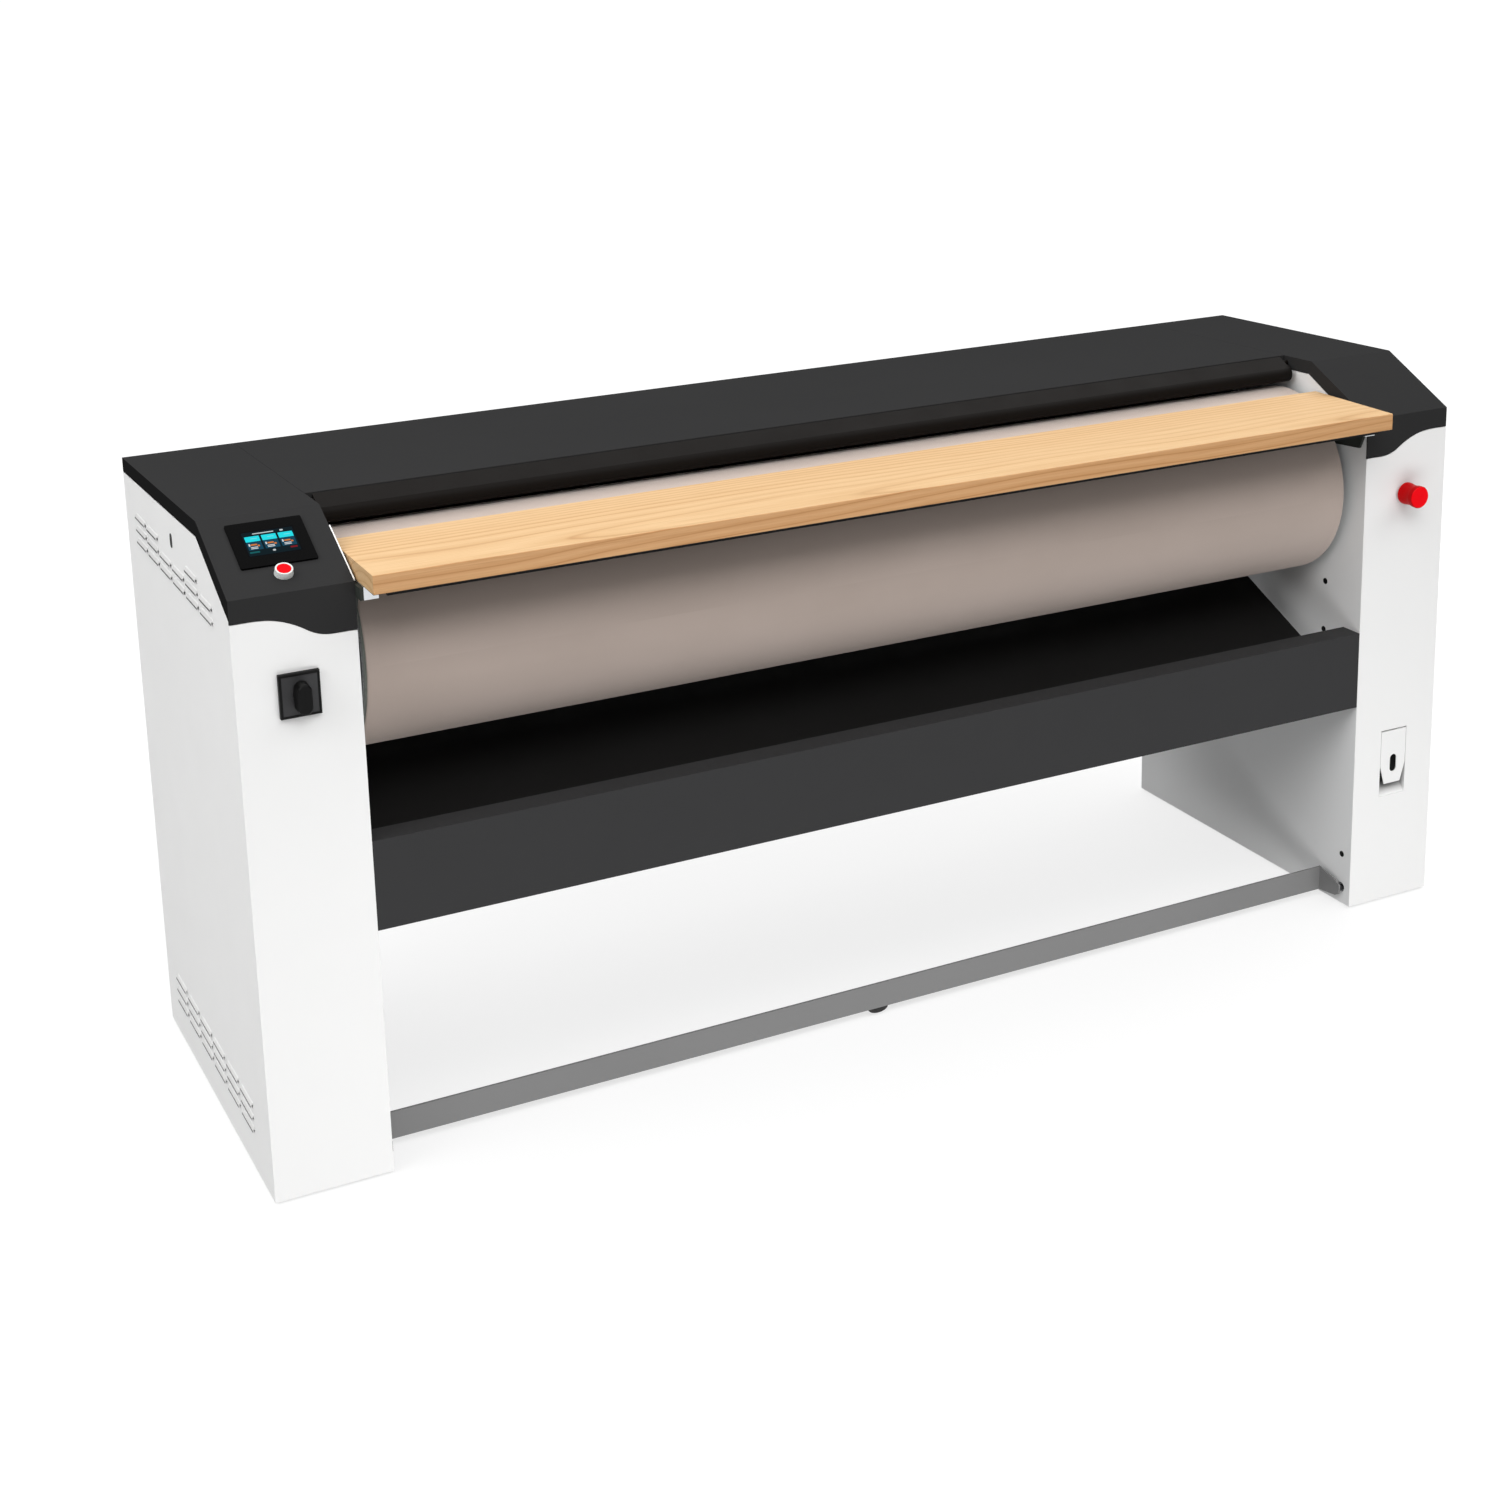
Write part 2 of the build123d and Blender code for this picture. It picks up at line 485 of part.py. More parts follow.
# ---------------------------------------------------------------------------
# Finger guard over the roll's nip, hinged on pins in the inner sheets
# ---------------------------------------------------------------------------
GX = 884.0
with BuildPart() as finger_guard:
    with BuildSketch(Plane.YZ.offset(-GX)):
        with BuildLine():
            Polyline((-58.0, 981.0), (-89.0, 966.5))
            ThreePointArc((-89.0, 966.5), (-95.0, 955.5), (-89.5, 944.5))
            ThreePointArc((-89.5, 944.5), (-82.5, 940.8), (-75.0, 940.5))
            Polyline((-75.0, 940.5), (-58.0, 940.5), (-58.0, 981.0))
        make_face()
    extrude(amount=2 * GX)
    # folded sheet, open at the rear, with end plates that carry the pins
    prism(Plane.YZ.offset(-GX + 3), [(-50, 978), (-60, 978), (-87.5, 965), (-92.7, 955.5), (-88, 946), (-82, 942.6), (-75, 942.5), (-50, 942.5)],
          2 * GX - 6, mode=Mode.SUBTRACT)
    for x0, x1 in ((-XI - 4, -GX), (GX, XI + 4)):
        rod_x(x0, x1, GUARD_PIVOT[0], GUARD_PIVOT[1], 4)
finger_guard.part.label = "finger_guard"

with BuildPart() as limit_switches:
    # one behind the guard, one over the lever on the treadle's pivot pin
    block(-20, 20, -49, -25, 946, 970)
    block(-20, 20, -25, -22, 940, 970)
    block(-20, 20, -25, 97, 940, 943)
    block(914, 938, -240, -216, 49, 73)
    block(FX1, 938, -240, -216, 73, 76)
limit_switches.part.label = "limit_switches"

# ---------------------------------------------------------------------------
# Feed board and its brackets
# ---------------------------------------------------------------------------
BOARD_X = XI - 6
with BuildPart() as feed_board:
    prism(Plane.YZ.offset(-BOARD_X), [(YF - BOARD_PROUD, 908), (YF - BOARD_PROUD, 936), (-153, 936), (-153, 926), (-182, 908)], 2 * BOARD_X)
    fillet(feed_board.edges().filter_by(Axis.X).group_by(Axis.Y)[0], 1.2)
feed_board.part.label = "feed_board"

with BuildPart() as feed_board_brackets:
    for s in (-1, 1):
        # bright channel under the board's end, on a chamfered plate at the cabinet
        xa, xb = sorted((s * (XI - 26), s * (XI - 5)))
        block(xa, xb, -311, -212, 889, 908)
        block(xa + 2, xb - 2, -309, -211, 888, 906, mode=Mode.SUBTRACT)
        xc, xd = sorted((s * (XI - 5), s * XI))
        prism(Plane.YZ.offset(xc), [(-311, 907), (-311, 889), (-286, 889), (-272, 858), (-196, 852), (-184, 862), (-184, 907)], xd - xc)
feed_board_brackets.part.label = "feed_board_brackets"

with BuildPart() as feed_board_stiffener:
    # flat bar under the board's front, let in between the brackets
    block(-XI + 28, XI - 28, YF - BOARD_PROUD + 9, YF - BOARD_PROUD + 39, 902, 908)
feed_board_stiffener.part.label = "feed_board_stiffener"

# ---------------------------------------------------------------------------
# Collecting trough: front panel with its lip, and the sloping chute
# ---------------------------------------------------------------------------
with BuildPart() as trough_front_panel:
    block(-XI + 0.3, XI - 0.3, YF, YF + T, TROUGH_Z0, TROUGH_Z1)
    block(-XI + 0.3, XI - 0.3, YF + T, LIP_Y, TROUGH_Z1 - T, TROUGH_Z1)
    block(-XI + 0.3, XI - 0.3, LIP_Y - T, LIP_Y, TROUGH_Z1 - 14, TROUGH_Z1 - T)
    block(-XI + 0.3, XI - 0.3, YF + T, YF + 24, TROUGH_Z0, TROUGH_Z0 + T)
    for s in (-1, 1):
        xa, xb = sorted((s * (XI - 2.3), s * (XI - 0.3)))
        block(xa, xb, YF + T, YF + 20, TROUGH_Z0 + T, TROUGH_Z1 - T)
trough_front_panel.part.label = "trough_front_panel"


def chute_z(y):
    return 500.7 + 0.4461 * (y + 185.0)


with BuildPart() as chute_plate:
    prism(Plane.YZ.offset(CHUTE_X0),
          [(YF + T, chute_z(YF + T) - 14), (YF + T, chute_z(YF + T)), (-28, chute_z(-28)), (-28, 495), (-30, 495),
           (-30, chute_z(-30) - 1.6), (YF + T + 2, chute_z(YF + T + 2) - 1.6), (YF + T + 2, chute_z(YF + T) - 14)], CHUTE_X1 - CHUTE_X0)
chute_plate.part.label = "chute_plate"

# ---------------------------------------------------------------------------
# Treadle bar: flat bar with bent ends, pivot pins and a rubber stop
# ---------------------------------------------------------------------------
BAR_Y, BAR_XL, BAR_XR = -216.0, XI - 2, XI - 9    # the left arm runs close along its cabinet
with BuildPart() as foot_bar:
    block(-BAR_XL, BAR_XR, BAR_Y - 2, BAR_Y + 2, 14, 58)
    for xa, xb in ((-BAR_XL, -BAR_XL + 3), (BAR_XR - 3, BAR_XR)):
        prism(Plane.YZ.offset(xa), [(BAR_Y - 2, 14), (BAR_Y - 2, 58), (-262, 48), (-272, 42), (-272, 26), (-262, 20)], xb - xa)
foot_bar.part.label = "foot_bar"

with BuildPart() as foot_bar_pins:
    for s, bx in ((-1, BAR_XL), (1, BAR_XR)):
        rod_x(s * bx, s * (XI + 24), TREADLE_PIVOT[0], TREADLE_PIVOT[1], 5)
        # lever that works the limit switch
        xa, xb = sorted((s * (XI + 12), s * (XI + 22)))
        prism(Plane.YZ.offset(xa), [(-272, 28), (-256, 28), (-222, 36), (-222, 44), (-256, 42), (-272, 40)], xb - xa)
foot_bar_pins.part.label = "foot_bar_pins"

with BuildPart() as foot_bar_buffer:
    with BuildSketch(Plane.YZ.offset(-58)):
        with BuildLine():
            Polyline((BAR_Y + 2, 32), (BAR_Y + 2, 10))
            ThreePointArc((BAR_Y + 2, 10), (BAR_Y + 13, 5.5), (BAR_Y + 24, 10))
            Polyline((BAR_Y + 24, 10), (BAR_Y + 24, 20), (BAR_Y + 12, 32), (BAR_Y + 2, 32))
        make_face()
    extrude(amount=36)
foot_bar_buffer.part.label = "foot_bar_buffer"

# ---------------------------------------------------------------------------
# Operating elements
# ---------------------------------------------------------------------------
with BuildPart() as touch_panel_bezel:
    with BuildSketch(panel_plane):
        with Locations((0, -PANEL_S)):
            RectangleRounded(BEZEL_W, BEZEL_H, 2.5)
    extrude(amount=3.2)
    with BuildSketch(panel_plane.offset(-26)):
        with Locations((0, -PANEL_S)):
            Rectangle(BEZEL_W - 12, BEZEL_H - 12)
    extrude(amount=26)
    with BuildSketch(panel_plane.offset(1.7)):
        with Locations((0, -PANEL_S + 0.5)):
            Rectangle(SCREEN_W, SCREEN_H)
    extrude(amount=3, mode=Mode.SUBTRACT)
touch_panel_bezel.part.label = "touch_panel_bezel"

with BuildPart() as touch_panel_glass:
    with BuildSketch(panel_plane.offset(1.7)):
        with Locations((0, -PANEL_S + 0.5)):
            Rectangle(SCREEN_W, SCREEN_H)
    extrude(amount=1.4)
touch_panel_glass.part.label = "touch_panel_glass"

with BuildPart() as stop_button_ring:
    with BuildSketch(panel_plane):
        with Locations((0, -BUTTON_S)):
            Circle(13.4)
    extrude(amount=9, taper=7)
    with BuildSketch(panel_plane.offset(-30)):
        with Locations((0, -BUTTON_S)):
            Circle(11.2)
    extrude(amount=30)
    with BuildSketch(panel_plane.offset(-31)):
        with Locations((0, -BUTTON_S)):
            Circle(10 + RUN)
    extrude(amount=40, mode=Mode.SUBTRACT)
stop_button_ring.part.label = "stop_button_ring"

with BuildPart() as stop_button_cap:
    with BuildSketch(panel_plane.offset(-12)):
        with Locations((0, -BUTTON_S)):
            Circle(10)
    extrude(amount=21.2)
    fillet(stop_button_cap.faces().sort_by(Axis.Z)[-1].edges(), 1.2)
stop_button_cap.part.label = "stop_button_cap"

with BuildPart() as main_switch_plate:
    block(-XC - 29, -XC + 29, YF - 8, YF, SWITCH_Z - 32, SWITCH_Z + 32)
    chamfer(main_switch_plate.faces().sort_by(Axis.Y)[0].edges(), 1.2)
    block(-XC - 25.5, -XC + 25.5, YF - 9, YF - 7.2, SWITCH_Z - 28.5, SWITCH_Z + 28.5, mode=Mode.SUBTRACT)
    rod_y(YF - 10, YF + 1, -XC, SWITCH_Z, 4 + RUN, mode=Mode.SUBTRACT)
main_switch_plate.part.label = "main_switch_plate"

with BuildPart() as main_switch_knob:
    rod_y(YF - 14.3, YF - 7.6, -XC, SWITCH_Z, 10.5)
    with BuildSketch(Plane.XZ.offset(-(YF - 14.3))):
        with Locations((-XC, SWITCH_Z)):
            SlotOverall(46, 22, rotation=90)
    extrude(amount=20, taper=3)
    chamfer(main_switch_knob.faces().sort_by(Axis.Y)[0].edges(), 1.6)
    rod_y(YF - 7.6, YF + 14, -XC, SWITCH_Z, 4)
main_switch_knob.part.label = "main_switch_knob"

with BuildPart() as main_switch_body:
    block(-XC - 26, -XC + 26, YF + T, YF + 62, SWITCH_Z - 30, SWITCH_Z + 30)
    rod_y(YF, YF + 20, -XC, SWITCH_Z, 4 + RUN, mode=Mode.SUBTRACT)
main_switch_body.part.label = "main_switch_body"

with BuildPart() as emergency_button:
    with BuildSketch(Plane.YZ.offset(XC)):
        with BuildLine():
            Polyline((YF + 10, ESTOP_Z), (YF + 10, ESTOP_Z + 7), (YF - 22, ESTOP_Z + 7), (YF - 22, ESTOP_Z + 13), (YF - 4.6, ESTOP_Z + 13),
                     (YF - 4.6, ESTOP_Z + 19.4), (YF - 9, ESTOP_Z + 19.5))
            Spline((YF - 9, ESTOP_Z + 19.5), (YF - 16, ESTOP_Z + 18.5), (YF - 24, ESTOP_Z + 18.2), (YF - 31, ESTOP_Z + 19.4))
            Polyline((YF - 31, ESTOP_Z + 19.4), (YF - 38.2, ESTOP_Z + 19.6), (YF - 40, ESTOP_Z + 17.8), (YF - 40, ESTOP_Z), (YF + 10, ESTOP_Z))
        make_face()
    revolve(axis=Axis((XC, 0, ESTOP_Z), (0, 1, 0)))
emergency_button.part.label = "emergency_button"

with BuildPart() as emergency_button_body:
    rod_y(YF - 17.5, YF + T + 10, XC, ESTOP_Z, 11.2)
    block(XC - 20, XC + 20, YF + T + 0.2, YF + 52, ESTOP_Z - 22, ESTOP_Z + 22)
    rod_y(YF - 18, YF + 18, XC, ESTOP_Z, 7 + RUN, mode=Mode.SUBTRACT)
emergency_button_body.part.label = "emergency_button_body"

# hand-crank access: hinged flap over a pocket in the right front sheet
HINGE_Y, HINGE_Z = YF + 4.0, 325.0
with BuildPart() as crank_flap:
    with BuildSketch(Plane.XZ.offset(-(YF + 2.0))):
        with BuildLine():
            Polyline((XC - 28, 327), (XC + 28, 327), (XC + 28, 262), (XC + 18, 227), (XC - 18, 227), (XC - 28, 262), close=True)
        make_face()
        with Locations((XC + 1, 264.5)):
            SlotOverall(33, 15, rotation=90, mode=Mode.SUBTRACT)
    extrude(amount=1.8)
    rod_x(XC - 27, XC + 27, HINGE_Y, HINGE_Z, 2.4)
    rod_x(XC - 29.8, XC + 29.8, HINGE_Y, HINGE_Z, 1.5)
crank_flap.part.label = "crank_flap"

with BuildPart() as crank_pocket:
    prism(Plane.YZ.offset(XC - 31), [(YF + T, 201), (YF + T + 26, 236), (YF + T + 26, 333), (YF + T, 333)], 62)
    prism(Plane.YZ.offset(XC - 29), [(YF + T - 1, 203), (YF + T + 24, 237), (YF + T + 24, 331), (YF + T - 1, 331)], 58, mode=Mode.SUBTRACT)
    rod_x(XC - 30.2, XC + 30.2, HINGE_Y, HINGE_Z, 1.5 + RUN, mode=Mode.SUBTRACT)
    # socket of the hand crank
    rod_y(YF + T + 10, YF + T + 24, XC, 285, 9)
    with BuildSketch(Plane.XZ.offset(-(YF + T + 18))):
        with Locations((XC, 285)):
            RegularPolygon(6, 6)
    extrude(amount=12, mode=Mode.SUBTRACT)
crank_pocket.part.label = "crank_pocket"

# ---------------------------------------------------------------------------
# Vapour extraction: fan in its housing, duct end at the rear
# ---------------------------------------------------------------------------
FAN_Y, FAN_Z = 215.0, 560.0
with BuildPart() as fan_housing:
    rod_x(SPIGOT_X - 50, SPIGOT_X + 50, FAN_Y, FAN_Z, 100)
    block(SPIGOT_X - 50, SPIGOT_X + 50, FAN_Y, RC_Y, FAN_Z - 10, SPIGOT_Z + 55)
    rod_x(SPIGOT_X - 47, SPIGOT_X + 47, FAN_Y, FAN_Z, 97, mode=Mode.SUBTRACT)
    block(SPIGOT_X - 47, SPIGOT_X + 47, FAN_Y, RC_Y + 1, FAN_Z - 7, SPIGOT_Z + 52, mode=Mode.SUBTRACT)
    rod_x(SPIGOT_X - 51, SPIGOT_X - 40, FAN_Y, FAN_Z, 55, mode=Mode.SUBTRACT)
    rod_x(SPIGOT_X + 46, SPIGOT_X + 51, FAN_Y, FAN_Z, 9, mode=Mode.SUBTRACT)
    # foot that carries it from the rear beam
    block(SPIGOT_X - 50, SPIGOT_X + 50, 262, 288, FAN_Z + 99 - 4, ROLL_Z - 30)
fan_housing.part.label = "fan_housing"

with BuildPart() as fan_motor:
    rod_x(SPIGOT_X + 50, SPIGOT_X + 170, FAN_Y, FAN_Z, 52)
    rod_x(SPIGOT_X + 46, SPIGOT_X + 80, FAN_Y, FAN_Z, 7 + RUN, mode=Mode.SUBTRACT)
fan_motor.part.label = "fan_motor"

with BuildPart() as fan_impeller:
    rod_x(SPIGOT_X + 10, SPIGOT_X + 70, FAN_Y, FAN_Z, 7)
    rod_x(SPIGOT_X + 10, SPIGOT_X + 34, FAN_Y, FAN_Z, 14)
    rod_x(SPIGOT_X + 31, SPIGOT_X + 34, FAN_Y, FAN_Z, 84)
    # raked blades, open towards the inlet
    with BuildSketch(Plane.YZ.offset(SPIGOT_X - 38)):
        with Locations((FAN_Y, FAN_Z)):
            with PolarLocations(60, 8):
                Rectangle(40, 3, rotation=38)
    extrude(amount=70)
fan_impeller.part.label = "fan_impeller"

with BuildPart() as exhaust_spigot:
    rod_y(RC_Y + 0.2, YB, SPIGOT_X, SPIGOT_Z, SPIGOT_R)
    block(SPIGOT_X - 62, SPIGOT_X + 62, RC_Y + 1.5, RC_Y + 3.5, SPIGOT_Z - 62, SPIGOT_Z + 62)
    rod_y(RC_Y - 6, YB + 1, SPIGOT_X, SPIGOT_Z, SPIGOT_R - 1.5, mode=Mode.SUBTRACT)
exhaust_spigot.part.label = "exhaust_spigot"

with BuildPart() as cable_gland:
    rod_y(RC_Y - 10, RC_Y + 1.5, 800, 430, 9.9)
    with BuildSketch(Plane.XZ.offset(-(RC_Y + 8))):
        with Locations((800, 430)):
            RegularPolygon(15, 6)
    extrude(amount=6.5)
    rod_y(RC_Y + 8, RC_Y + 24, 800, 430, 12)
    rod_y(RC_Y - 11, RC_Y + 25, 800, 430, 7, mode=Mode.SUBTRACT)
cable_gland.part.label = "cable_gland"

# electrical unit on a plate in the left cabinet
with BuildPart() as control_unit:
    block(-FX1 - 12, -FX1 - 9, -200, 200, 420, 640)
    for cy, cz, w, h, d in ((-150, 580, 70, 80, 75), (-60, 580, 70, 80, 75), (40, 575, 90, 90, 65), (150, 580, 60, 85, 60), (-110, 470, 150, 60, 50), (90, 470, 180, 50, 60)):
        block(-FX1 - 12 - d, -FX1 - 12, cy - w / 2, cy + w / 2, cz - h / 2, cz + h / 2)
    for cy in (-180, 180):
        block(-FX1 - 9, -FX1, cy - 8, cy + 8, 425, 441)
control_unit.part.label = "control_unit"

PIECES = [left_end_cover, right_end_cover, centre_cover, left_side_shell, right_side_shell, left_front_panel,
          right_front_panel, left_inner_panel, right_inner_panel, rear_cover, rear_cover_screws, left_side_frame,
          right_side_frame, upper_cross_beam, rear_cross_beam, chute_beam, levelling_feet, roll_tube, roll_padding, roll_cloth, roll_end_left,
          roll_end_right, left_roll_bearing, right_roll_bearing, roll_pulley, motor_pulley, gearmotor, drive_belt,
          heated_chest, heater_rods, chest_jacket, chest_actuator_bodies, chest_actuator_rods,
          finger_guard, limit_switches, feed_board, feed_board_brackets, feed_board_stiffener, trough_front_panel, chute_plate, foot_bar,
          foot_bar_pins, foot_bar_buffer, touch_panel_bezel, touch_panel_glass, stop_button_ring, stop_button_cap,
          main_switch_plate, main_switch_knob, main_switch_body, emergency_button, emergency_button_body, crank_flap,
          crank_pocket, fan_housing, fan_motor, fan_impeller, exhaust_spigot, cable_gland, control_unit]
for piece in PIECES:
    export_step(piece.part, "parts/" + piece.part.label + ".step")
print(len(PIECES), "pieces")
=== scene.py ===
import bpy
import bmesh
import math
import random
from mathutils import Matrix, Vector


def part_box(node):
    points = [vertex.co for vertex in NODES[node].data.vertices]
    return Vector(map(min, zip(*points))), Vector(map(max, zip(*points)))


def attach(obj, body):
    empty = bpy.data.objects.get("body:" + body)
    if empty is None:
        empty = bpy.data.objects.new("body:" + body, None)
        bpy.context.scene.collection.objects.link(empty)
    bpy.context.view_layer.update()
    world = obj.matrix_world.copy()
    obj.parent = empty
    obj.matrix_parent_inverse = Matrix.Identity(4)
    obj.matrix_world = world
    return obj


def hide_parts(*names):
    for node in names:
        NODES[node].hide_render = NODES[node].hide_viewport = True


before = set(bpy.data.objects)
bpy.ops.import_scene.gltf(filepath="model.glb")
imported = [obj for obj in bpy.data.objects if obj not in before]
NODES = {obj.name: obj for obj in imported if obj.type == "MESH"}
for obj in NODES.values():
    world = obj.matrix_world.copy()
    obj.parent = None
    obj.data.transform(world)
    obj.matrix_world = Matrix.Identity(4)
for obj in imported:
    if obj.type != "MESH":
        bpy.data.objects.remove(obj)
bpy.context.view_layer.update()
random.seed(11)


# ---------------------------------------------------------------- camera
def camera():
    f, cx, cy = 2361.69482, 815.0, 432.0
    yaw, pitch, roll = 0.47886, 0.24274, -0.01805
    where = Vector((-1.76281, -3.34448, 1.88204))
    cyw, syw, cp, sp = math.cos(yaw), math.sin(yaw), math.cos(pitch), math.sin(pitch)
    fwd = Vector((syw * cp, cyw * cp, -sp))
    right = Vector((cyw, -syw, 0))
    up = right.cross(fwd)
    r = right * math.cos(roll) + up * math.sin(roll)
    u = -right * math.sin(roll) + up * math.cos(roll)
    data = bpy.data.cameras.new("camera")
    data.sensor_width = 36.0
    data.sensor_fit = "HORIZONTAL"
    data.lens = f / 1500 * 36
    data.shift_x = (750 - cx) / 1500
    data.shift_y = (cy - 750) / 1500
    data.clip_start, data.clip_end = 0.05, 200
    data.dof.use_dof = False
    obj = bpy.data.objects.new("camera", data)
    m = Matrix((r, u, -fwd)).transposed().to_4x4()
    m.translation = where
    obj.matrix_world = m
    bpy.context.scene.collection.objects.link(obj)
    bpy.context.scene.camera = obj


camera()


# ---------------------------------------------------------------- materials
class Mat:
    """A node material built in a few lines."""

    def __init__(self, name):
        self.m = bpy.data.materials.new(name)
        self.m.use_nodes = True
        self.nt = self.m.node_tree
        self.nt.nodes.clear()
        self.out = self.nt.nodes.new("ShaderNodeOutputMaterial")
        self.b = self.nt.nodes.new("ShaderNodeBsdfPrincipled")
        self.nt.links.new(self.b.outputs[0], self.out.inputs[0])
        self.co = self.nt.nodes.new("ShaderNodeTexCoord")

    def set(self, **kw):
        names = {"color": "Base Color", "rough": "Roughness", "metal": "Metallic", "coat": "Coat Weight", "coat_rough": "Coat Roughness",
                 "sheen": "Sheen Weight", "sheen_rough": "Sheen Roughness", "spec": "Specular IOR Level", "ior": "IOR", "emit": "Emission Color", "emit_k": "Emission Strength",
                 "aniso": "Anisotropic", "trans": "Transmission Weight", "subs": "Subsurface Weight", "sheen_tint": "Sheen Tint"}
        for k, v in kw.items():
            if k in ("color", "emit", "sheen_tint"):
                v = (*v, 1.0)
            self.b.inputs[names[k]].default_value = v
        return self

    def node(self, kind, **props):
        n = self.nt.nodes.new(kind)
        for k, v in props.items():
            setattr(n, k, v)
        return n

    def link(self, a, b):
        self.nt.links.new(a, b)

    def coords(self, scale=(1, 1, 1), rot=(0, 0, 0), loc=(0, 0, 0)):
        mp = self.node("ShaderNodeMapping")
        mp.inputs["Scale"].default_value = scale
        mp.inputs["Rotation"].default_value = rot
        mp.inputs["Location"].default_value = loc
        self.link(self.co.outputs["Object"], mp.inputs["Vector"])
        return mp.outputs[0]

    def noise(self, scale, detail=3.0, rough=0.5, distortion=0.0, vec=None, mapscale=(1, 1, 1)):
        n = self.node("ShaderNodeTexNoise")
        n.inputs["Scale"].default_value = scale
        n.inputs["Detail"].default_value = detail
        n.inputs["Roughness"].default_value = rough
        n.inputs["Distortion"].default_value = distortion
        self.link(vec if vec is not None else self.coords(mapscale), n.inputs["Vector"])
        return n.outputs["Fac"]

    def ramp(self, fac, stops, mode="LINEAR"):
        r = self.node("ShaderNodeValToRGB")
        r.color_ramp.interpolation = mode
        el = r.color_ramp.elements
        while len(el) > 1:
            el.remove(el[0])
        el[0].position = stops[0][0]
        el[0].color = self.rgba(stops[0][1])
        for p, c in stops[1:]:
            e = el.new(p)
            e.color = self.rgba(c)
        self.link(fac, r.inputs[0])
        return r.outputs[0]

    @staticmethod
    def rgba(c):
        return (c, c, c, 1) if isinstance(c, (int, float)) else (*c, 1)

    def remap(self, fac, a, b, lo=0.0, hi=1.0):
        n = self.node("ShaderNodeMapRange")
        n.inputs["From Min"].default_value = lo
        n.inputs["From Max"].default_value = hi
        n.inputs["To Min"].default_value = a
        n.inputs["To Max"].default_value = b
        self.link(fac, n.inputs["Value"])
        return n.outputs[0]

    def mix(self, fac, a, b, blend="MIX"):
        n = self.node("ShaderNodeMix", data_type="RGBA", blend_type=blend)
        for sock, v in ((n.inputs[0], fac), (n.inputs[6], a), (n.inputs[7], b)):
            if hasattr(v, "is_linked"):
                self.link(v, sock)
            elif isinstance(v, (int, float)):
                sock.default_value = v if sock == n.inputs[0] else self.rgba(v)
            else:
                sock.default_value = self.rgba(v)
        return n.outputs[2]

    def math(self, op, a, b=None):
        n = self.node("ShaderNodeMath", operation=op)
        for i, v in ((0, a), (1, b)):
            if v is None:
                continue
            if hasattr(v, "is_linked"):
                self.link(v, n.inputs[i])
            else:
                n.inputs[i].default_value = v
        return n.outputs[0]

    def bump(self, height, dist, strength=1.0, prev=None):
        n = self.node("ShaderNodeBump")
        n.inputs["Strength"].default_value = strength
        n.inputs["Distance"].default_value = dist
        self.link(height, n.inputs["Height"])
        if prev is not None:
            self.link(prev, n.inputs["Normal"])
        return n.outputs[0]

    def color(self, out):
        self.link(out, self.b.inputs["Base Color"])
        return self

    def rough(self, out):
        self.link(out, self.b.inputs["Roughness"])
        return self

    def normal(self, out):
        self.link(out, self.b.inputs["Normal"])
        return self


def powder(name, col, var=0.02, rough=(0.36, 0.46), grain=0.00006, scale=950.0, spec=0.5):
    """Powder coat: fine orange peel, faint cloudiness."""
    m = Mat(name).set(spec=spec)
    big = m.noise(2.6, 4, 0.55)
    dark = tuple(c * (1 - var) for c in col)
    lite = tuple(min(1.0, c * (1 + var)) for c in col)
    m.color(m.ramp(big, [(0.3, dark), (0.7, lite)]))
    m.rough(m.remap(m.noise(14, 4, 0.6), *rough, 0.3, 0.7))
    m.normal(m.bump(m.noise(scale, 2, 0.5), grain, 1.0))
    return m.m


def brushed(name, col, rough=(0.22, 0.38), stretch=(2, 60, 60)):
    m = Mat(name).set(metal=1.0)
    streak = m.noise(22, 4, 0.6, mapscale=stretch)
    m.color(m.ramp(streak, [(0.25, tuple(c * 0.86 for c in col)), (0.75, col)]))
    m.rough(m.remap(streak, *rough, 0.25, 0.75))
    m.normal(m.bump(streak, 0.00005, 0.6))
    return m.m


def plated(name, col=(0.62, 0.63, 0.65)):
    """Zinc plate with its faint spangle."""
    m = Mat(name).set(metal=1.0)
    v = m.node("ShaderNodeTexVoronoi")
    v.inputs["Scale"].default_value = 110
    m.link(m.coords(), v.inputs["Vector"])
    n = m.noise(40, 3)
    m.color(m.mix(m.remap(n, 0.0, 0.45, 0.3, 0.7), col, tuple(c * 0.8 for c in col)))
    m.rough(m.remap(v.outputs["Color"], 0.24, 0.42))
    m.normal(m.bump(n, 0.00004, 0.5))
    return m.m


def plastic(name, col, rough=(0.42, 0.52), grain=0.00005, scale=1800, spec=0.5, coat=0.0):
    m = Mat(name).set(spec=spec, coat=coat, coat_rough=0.08)
    n = m.noise(30, 4, 0.6)
    m.color(m.ramp(n, [(0.3, tuple(c * 0.9 for c in col)), (0.7, tuple(min(1, c * 1.1) for c in col))]))
    m.rough(m.remap(m.noise(55, 3), *rough, 0.3, 0.7))
    m.normal(m.bump(m.noise(scale, 2), grain, 0.8))
    return m.m


def rubber(name="rubber"):
    m = Mat(name).set(spec=0.35)
    m.color(m.ramp(m.noise(60, 5), [(0.3, (0.012, 0.012, 0.012)), (0.75, (0.035, 0.034, 0.033))]))
    m.rough(m.remap(m.noise(90, 3), 0.62, 0.85, 0.3, 0.7))
    m.normal(m.bump(m.noise(1300, 2), 0.0001, 0.8))
    return m.m


